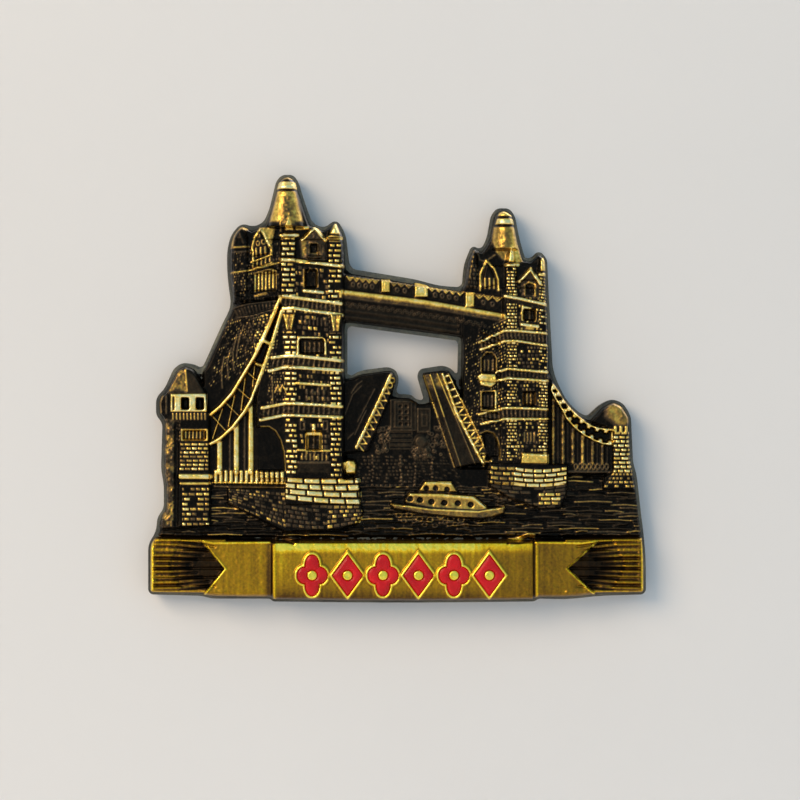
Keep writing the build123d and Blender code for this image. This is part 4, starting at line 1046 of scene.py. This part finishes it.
def shell(name, xs, zs, depth, wanted, floor, block):
    """A closed mesh: a height field over the wanted blocks, side walls, and a flat back."""
    top_index = -np.ones(depth.shape, dtype=int)
    bottom_index = -np.ones((wanted.shape[0] + 1, wanted.shape[1] + 1), dtype=int)
    for k, i in np.argwhere(wanted):
        top_index[k * block:(k + 1) * block + 1, i * block:(i + 1) * block + 1] = 0
        bottom_index[k:k + 2, i:i + 2] = 0
    tops, bottoms = np.argwhere(top_index == 0), np.argwhere(bottom_index == 0)
    top_index[tuple(tops.T)] = np.arange(len(tops))
    bottom_index[tuple(bottoms.T)] = len(tops) + np.arange(len(bottoms))
    points = [(xs[i], -depth[k, i], zs[k]) for k, i in tops]
    points += [(xs[i * block], -floor, zs[k * block]) for k, i in bottoms]
    above, below = top_index.tolist(), bottom_index.tolist()
    beyond = np.pad(wanted, 1)
    steps = range(block + 1)
    faces = []
    for k, i in np.argwhere(wanted).tolist():
        k0, i0 = k * block, i * block
        k1, i1 = k0 + block, i0 + block
        for row in range(k0, k1):
            for column in range(i0, i1):
                foot, head = above[row], above[row + 1]
                faces.append((foot[column], foot[column + 1], head[column + 1], head[column]))
        faces.append((below[k][i], below[k + 1][i], below[k + 1][i + 1], below[k][i + 1]))
        sides = (
            (beyond[k, i + 1], [(k0, i1 - n) for n in steps], ((k, i), (k, i + 1))),
            (beyond[k + 2, i + 1], [(k1, i0 + n) for n in steps], ((k + 1, i + 1), (k + 1, i))),
            (beyond[k + 1, i + 2], [(k1 - n, i1) for n in steps], ((k, i + 1), (k + 1, i + 1))),
            (beyond[k + 1, i], [(k0 + n, i0) for n in steps], ((k + 1, i), (k, i))),
        )
        for neighbour, edge, hem in sides:
            if not neighbour:
                faces.append([above[r][c] for r, c in edge] + [below[r][c] for r, c in hem])
    return solid(name, points, faces), tops


def store(piece, name, tops, field, below):
    """Keeps a canvas value on the piece's vertices for its material."""
    values = np.full(len(piece.data.vertices), below, dtype=np.float32)
    values[:len(tops)] = field[tuple(tops.T)]
    piece.data.attributes.new(name, "FLOAT", "POINT").data.foreach_set("value", values)


def relief_canvas():
    """Draws the whole relief, and says which piece owns each block of it."""
    canvas = Canvas(CAD_LOW, CAD_HIGH)
    distance = rim_distance(canvas, depth_map(canvas, "cast_back_plate"))
    maps = {name: depth_map(canvas, name) for name in RELIEFS}
    canvas.height = np.full(canvas.X.shape, PLATE_TOP)
    for name, depth in maps.items():
        cut = np.where(canvas.Z > EAVES.get(name, FAR), depth - ROOF_SINK, GROUND.get(name, FAR))
        canvas.height = np.maximum(canvas.height, np.minimum(depth, cut))
    canvas.height = blurred(canvas.height)
    speck = 0.55 * canvas.noise(0.28, 0.28, 7) + 0.45 * canvas.noise(0.8, 1.1, 8)
    canvas.speck = smooth((speck - 0.25) / 0.5)
    for draw in (draw_river, draw_skyline, draw_left_span, draw_right_span, draw_piers,
                 draw_gatehouses, draw_leaves, draw_walkway, draw_left_tower, draw_left_chain,
                 draw_right_tower, draw_boat, draw_ribbon, draw_inlay_borders):
        draw(canvas)
    # cast grain, softened arrises, and the rounded fall to the rubbed rim
    grain = canvas.noise(0.35, 0.35, 5) + 0.6 * canvas.noise(0.9, 0.9, 6) - 0.8
    rise = np.clip((distance - RIM_CLEAR) / RIM_WIDTH, 0, 1)
    depth = blurred(canvas.height) + 0.05 * grain
    canvas.height = RIM_DEPTH + (depth - RIM_DEPTH) * np.sqrt(1 - (1 - rise) ** 2)
    worn = smooth((0.5 - distance) / 0.25)
    canvas.shine = np.clip(canvas.shine + 0.75 * (RIM_SHINE - canvas.shine) * worn, 0, 1)
    return canvas, block_owners(canvas, maps, distance)


# ----------------------------------------------------------------- materials

class Recipe:
    """A material, and the few node steps that all of them are made with."""

    def __init__(self, name):
        self.material = bpy.data.materials.new(name)
        self.material.use_nodes = True
        self.nodes, self.links = self.material.node_tree.nodes, self.material.node_tree.links
        self.shader = self.nodes["Principled BSDF"]
        self.coords = self.nodes.new("ShaderNodeTexCoord")

    def step(self, kind, **values):
        """A new node, each of whose named inputs is a number or the output of another node."""
        node = self.nodes.new(kind)
        for name, value in values.items():
            if isinstance(value, bpy.types.NodeSocket):
                self.links.new(value, node.inputs[name])
            else:
                node.inputs[name].default_value = value
        return node

    def noise(self, scale, detail, stretch=(1, 1, 1)):
        mapping = self.step("ShaderNodeMapping", Vector=self.coords.outputs["Object"], Scale=stretch)
        return self.step(
            "ShaderNodeTexNoise", Vector=mapping.outputs["Vector"], Scale=scale, Detail=detail
        ).outputs["Fac"]

    def math(self, kind, *terms):
        node = self.nodes.new("ShaderNodeMath")
        node.operation = kind
        for socket, term in zip(node.inputs, terms):
            if isinstance(term, bpy.types.NodeSocket):
                self.links.new(term, socket)
            else:
                socket.default_value = term
        return node.outputs["Value"]

    def mix(self, *parts):
        """The sum of some fields, each times its share."""
        total = None
        for field, share in parts:
            part = self.math("MULTIPLY", field, share)
            total = part if total is None else self.math("ADD", total, part)
        return total

    def paint(self, socket, field, *stops):
        """Feeds a shader socket from a ramp, whose stops are colours or plain numbers."""
        ramp = self.step("ShaderNodeValToRGB", Fac=field)
        elements = ramp.color_ramp.elements
        while len(elements) < len(stops):
            elements.new(0.5)
        for element, (place, colour) in zip(elements, stops):
            element.position = place
            element.color = (*np.broadcast_to(colour, 3), 1)
        self.links.new(ramp.outputs["Color"], self.shader.inputs[socket])

    def bump(self, field, strength, distance):
        node = self.step("ShaderNodeBump", Height=field, Strength=strength, Distance=distance)
        self.links.new(node.outputs["Normal"], self.shader.inputs["Normal"])


CAST_STOPS = (
    (0.0, (0.006, 0.005, 0.004)), (0.3, (0.085, 0.058, 0.034)),
    (0.55, (0.40, 0.24, 0.055)), (0.8, (0.95, 0.65, 0.13)), (1.0, (1.0, 0.85, 0.42)),
)
RIBBON_STOPS = (
    (0.0, (0.006, 0.005, 0.004)), (0.3, (0.11, 0.055, 0.016)),
    (0.6, (0.45, 0.25, 0.016)), (0.85, (0.92, 0.61, 0.025)), (1.0, (1.0, 0.83, 0.10)),
)


def plated_metal(name, stretch, wear, stops):
    """Brass plating, blackened and then rubbed bright where the shine attribute is high; on the ribbon and
    the boat that attribute also holds painted light and shade.
    """
    recipe = Recipe(name)
    attribute = recipe.nodes.new("ShaderNodeAttribute")
    attribute.attribute_name = "shine"
    shine = attribute.outputs["Fac"]
    streaks, pits, patches = recipe.noise(900, 4, stretch), recipe.noise(3200, 3), recipe.noise(160, 2)
    uneven = recipe.mix(*(
        (recipe.math("SUBTRACT", field, 0.5), share)
        for field, share in ((streaks, wear), (pits, 0.35), (patches, 0.3))
    ))
    scaled = recipe.math("MULTIPLY", uneven, recipe.math("ADD", shine, 0.25))
    level = recipe.math("ADD", shine, scaled)
    recipe.paint("Base Color", level, *stops)
    recipe.paint("Metallic", level, (0.0, 0.93), (0.3, 1.0))
    recipe.paint("Roughness", level, (0.0, 0.4), (0.5, 0.42), (1.0, 0.3))
    recipe.bump(recipe.math("ADD", streaks, pits), 0.5, 0.00003)
    return recipe.material


def enamel_red():
    recipe = Recipe("red_enamel")
    cloud = recipe.noise(450, 3)
    recipe.paint("Base Color", cloud, (0.3, (0.42, 0.003, 0.006)), (0.7, (0.62, 0.006, 0.010)))
    recipe.paint("Roughness", cloud, (0.3, 0.16), (0.7, 0.3))
    recipe.bump(recipe.noise(1400, 2), 0.3, 0.00003)
    recipe.shader.inputs["Specular IOR Level"].default_value = 0.3
    return recipe.material


def edge_bronze():
    """The rubbed rim and the plain back of the casting."""
    recipe = Recipe("edge_bronze")
    patches, grain = recipe.noise(130, 5), recipe.noise(2600, 4)
    mixed = recipe.mix((patches, 0.7), (grain, 0.3))
    recipe.paint("Base Color", mixed, (0.32, (0.045, 0.044, 0.040)), (0.5, (0.10, 0.096, 0.080)),
                 (0.72, (0.22, 0.20, 0.14)))
    recipe.paint("Roughness", grain, (0.3, 0.36), (0.7, 0.52))
    recipe.shader.inputs["Metallic"].default_value = 0.9
    recipe.bump(mixed, 0.6, 0.00006)
    return recipe.material


def ferrite():
    """Sintered magnet, dark grey with pale specks and fine grinding marks."""
    recipe = Recipe("ferrite")
    specks, marks = recipe.noise(2400, 5), recipe.noise(700, 3, (0.12, 1, 3))
    mixed = recipe.mix((specks, 0.5), (marks, 0.5))
    recipe.paint("Base Color", mixed, (0.35, (0.012, 0.012, 0.013)), (0.55, (0.035, 0.034, 0.036)),
                 (0.75, 0.13))
    recipe.paint("Roughness", specks, (0.3, 0.42), (0.7, 0.7))
    recipe.bump(mixed, 0.5, 0.00005)
    return recipe.material


def dried_glue():
    recipe = Recipe("dried_glue")
    cloud = recipe.noise(500, 3)
    recipe.paint("Base Color", cloud, (0.3, (0.42, 0.33, 0.17)), (0.7, (0.62, 0.53, 0.33)))
    recipe.paint("Roughness", cloud, (0.3, 0.2), (0.7, 0.4))
    recipe.bump(cloud, 0.4, 0.00008)
    return recipe.material


def painted_board(name, low, high):
    recipe = Recipe(name)
    recipe.paint("Base Color", recipe.noise(9, 3), (0.3, low), (0.7, high))
    recipe.shader.inputs["Roughness"].default_value = 0.55
    recipe.bump(recipe.noise(1500, 2), 0.1, 0.00005)
    return recipe


# --------------------------------------------------- magnets, glue and stage

def lathe(name, centre, profile, turns, wobble=None):
    """A body turned about the Y axis from (radius, y) points.

    With a wobble it is a ring, and without one its two ends are closed by flat faces.
    """
    points, faces = [], []
    count = len(profile)
    for number in range(turns):
        angle = math.tau * number / turns
        near, far = number * count, (number + 1) % turns * count
        for step, (radius, y) in enumerate(profile):
            reach = radius + (wobble(angle) if wobble else 0.0)
            points.append((centre[0] + reach * math.cos(angle), y, centre[1] + reach * math.sin(angle)))
            beyond = (step + 1) % count
            if wobble or beyond:
                faces.append((near + step, near + beyond, far + beyond, far + step))
    if not wobble:
        faces.append(tuple(range(0, turns * count, count)))
        faces.append(tuple(range(turns * count - 1, -1, -count)))
    return solid(name, points, faces)


def magnet(side):
    """A ferrite disc with a rounded back edge and a shallow dimple from the press."""
    low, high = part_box(f"magnet_{side}")
    centre, radius = round_place(f"magnet_{side}")
    back, front = high.y / MM, low.y / MM
    profile = [(0.6, back - 0.06), (1.1, back - 0.01), (radius - 0.32, back)]
    profile += [
        (radius - 0.32 + 0.3 * math.sin(step), back - 0.3 + 0.3 * math.cos(step))
        for step in (0.4, 0.8, 1.2, 1.57)
    ]
    profile += [(radius - 0.02, front + 0.3), (radius - 0.3, front)]
    return lathe(f"magnet_disc_{side}", centre, profile, 96)


def glue_bead(side):
    """Glue squeezed out in an uneven bead round the magnet."""
    def wobble(angle):
        return 0.07 * math.sin(3 * angle + 1) + 0.05 * math.sin(7 * angle) + 0.03 * math.sin(13 * angle)

    centre, radius = round_place(f"magnet_{side}")
    turns = [step * math.tau / 10 for step in range(10)]
    ring = [(radius + 0.12 + 0.24 * math.cos(turn), -1.2 + 0.2 * math.sin(turn)) for turn in turns]
    return lathe(f"glue_bead_{side}", centre, ring, 144, wobble)


def board(name, corners, material):
    mesh = bpy.data.meshes.new(name)
    mesh.from_pydata(corners, [], [(0, 1, 2, 3)])
    mesh.materials.append(material)
    piece = bpy.data.objects.new(name, mesh)
    bpy.context.collection.objects.link(piece)
    return piece


def seen_from_front_only(recipe):
    """The board behind the magnet vanishes when it is looked at from its back."""
    geometry = recipe.nodes.new("ShaderNodeNewGeometry")
    clear = recipe.nodes.new("ShaderNodeBsdfTransparent")
    mix = recipe.nodes.new("ShaderNodeMixShader")
    for start, end in (
        (geometry.outputs["Backfacing"], mix.inputs["Fac"]), (recipe.shader.outputs["BSDF"], mix.inputs[1]),
        (clear.outputs["BSDF"], mix.inputs[2]),
        (mix.outputs["Shader"], recipe.nodes["Material Output"].inputs["Surface"]),
    ):
        recipe.links.new(start, end)
    return recipe


def area_light(name, place, size, power, colour):
    """A square soft light that looks at the middle of the object."""
    lamp = bpy.data.lights.new(name, "AREA")
    lamp.shape = "RECTANGLE"
    lamp.size, lamp.size_y = size, size
    lamp.energy = power
    lamp.color = colour
    thing = bpy.data.objects.new(name, lamp)
    thing.location = place
    thing.rotation_euler = (Vector(MIDDLE) - Vector(place)).to_track_quat("-Z", "Y").to_euler()
    bpy.context.collection.objects.link(thing)


# ------------------------------------------------------------------ assembly

MIDDLE = (0.0004, -0.004, 0.01)
FLOOR_LEVEL = -0.07


def finish_piece(piece, material, node):
    piece.data.materials.append(material)
    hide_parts(node)
    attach(piece, "root")


canvas, owners = relief_canvas()
cast = plated_metal("antique_brass", (1, 1, 1), 0.5, CAST_STOPS)
brushed = plated_metal("brushed_brass", (2.2, 1, 0.12), 0.45, RIBBON_STOPS)
for number, (node, label) in enumerate(RELIEFS.items()):
    relief, tops = shell(label, canvas.x, canvas.z, canvas.height, owners == number, FLOOR_DEPTH, BLOCK)
    store(relief, "shine", tops, canvas.shine, RIM_SHINE)
    if node in RIBBONS:
        finish_piece(relief, brushed, node)
    else:
        finish_piece(relief, cast, node)

red = enamel_red()
for index in range(INLAYS):
    finish_piece(inlay(index), red, f"enamel_inlay_{index + 1}")

stone, glue = ferrite(), dried_glue()
for side in ("left", "right"):
    finish_piece(magnet(side), stone, f"magnet_{side}")
    finish_piece(glue_bead(side), glue, f"adhesive_{side}")

plate = bpy.data.objects["cast_back_plate"]
plate.data.materials.clear()
plate.data.materials.append(edge_bronze())

# the pale board it clings to, and a pale floor well below
wall_paint = seen_from_front_only(painted_board("wall_paint", (0.70, 0.69, 0.70), (0.73, 0.72, 0.73)))
wall_low, wall_high = (-1.2, FLOOR_LEVEL), (1.2, 1.2)
wall_corners = [wall_low, (wall_high[0], wall_low[1]), wall_high, (wall_low[0], wall_high[1])]
wall = board("wall", [(x, 0, z) for x, z in wall_corners], wall_paint.material)
wall.visible_shadow = False
floor_paint = painted_board("floor_paint", (0.62, 0.61, 0.61), (0.66, 0.65, 0.65))
board("floor", [(x, y, FLOOR_LEVEL) for x, y in ((-1.5, -1.5), (1.5, -1.5), (1.5, 1.5), (-1.5, 1.5))],
      floor_paint.material)

# a warm key from the upper left, and a faint light for the back
area_light("key", (-0.8, -0.88, 0.58), 0.7, 12.8, (1.0, 0.755, 0.49))
area_light("back", (0.3, 0.6, 0.45), 0.5, 6, (1.0, 0.97, 0.93))

bpy.context.scene.view_settings.view_transform = "Standard"
world = bpy.data.worlds.new("room")
bpy.context.scene.world = world
world.use_nodes = True
background = world.node_tree.nodes["Background"]
background.inputs["Color"].default_value = (0.53, 0.80, 1.0, 1)
background.inputs["Strength"].default_value = 0.68

# square on to the object, through a long lens
lens = bpy.data.cameras.new("camera")
lens.lens = 130
lens.sensor_width = 36
lens.clip_start = 0.01
camera = bpy.data.objects.new("camera", lens)
camera.location = (0.00042, -0.4092, 0.00984)
camera.rotation_euler = (math.pi / 2, 0, 0)
bpy.context.collection.objects.link(camera)
bpy.context.scene.camera = camera
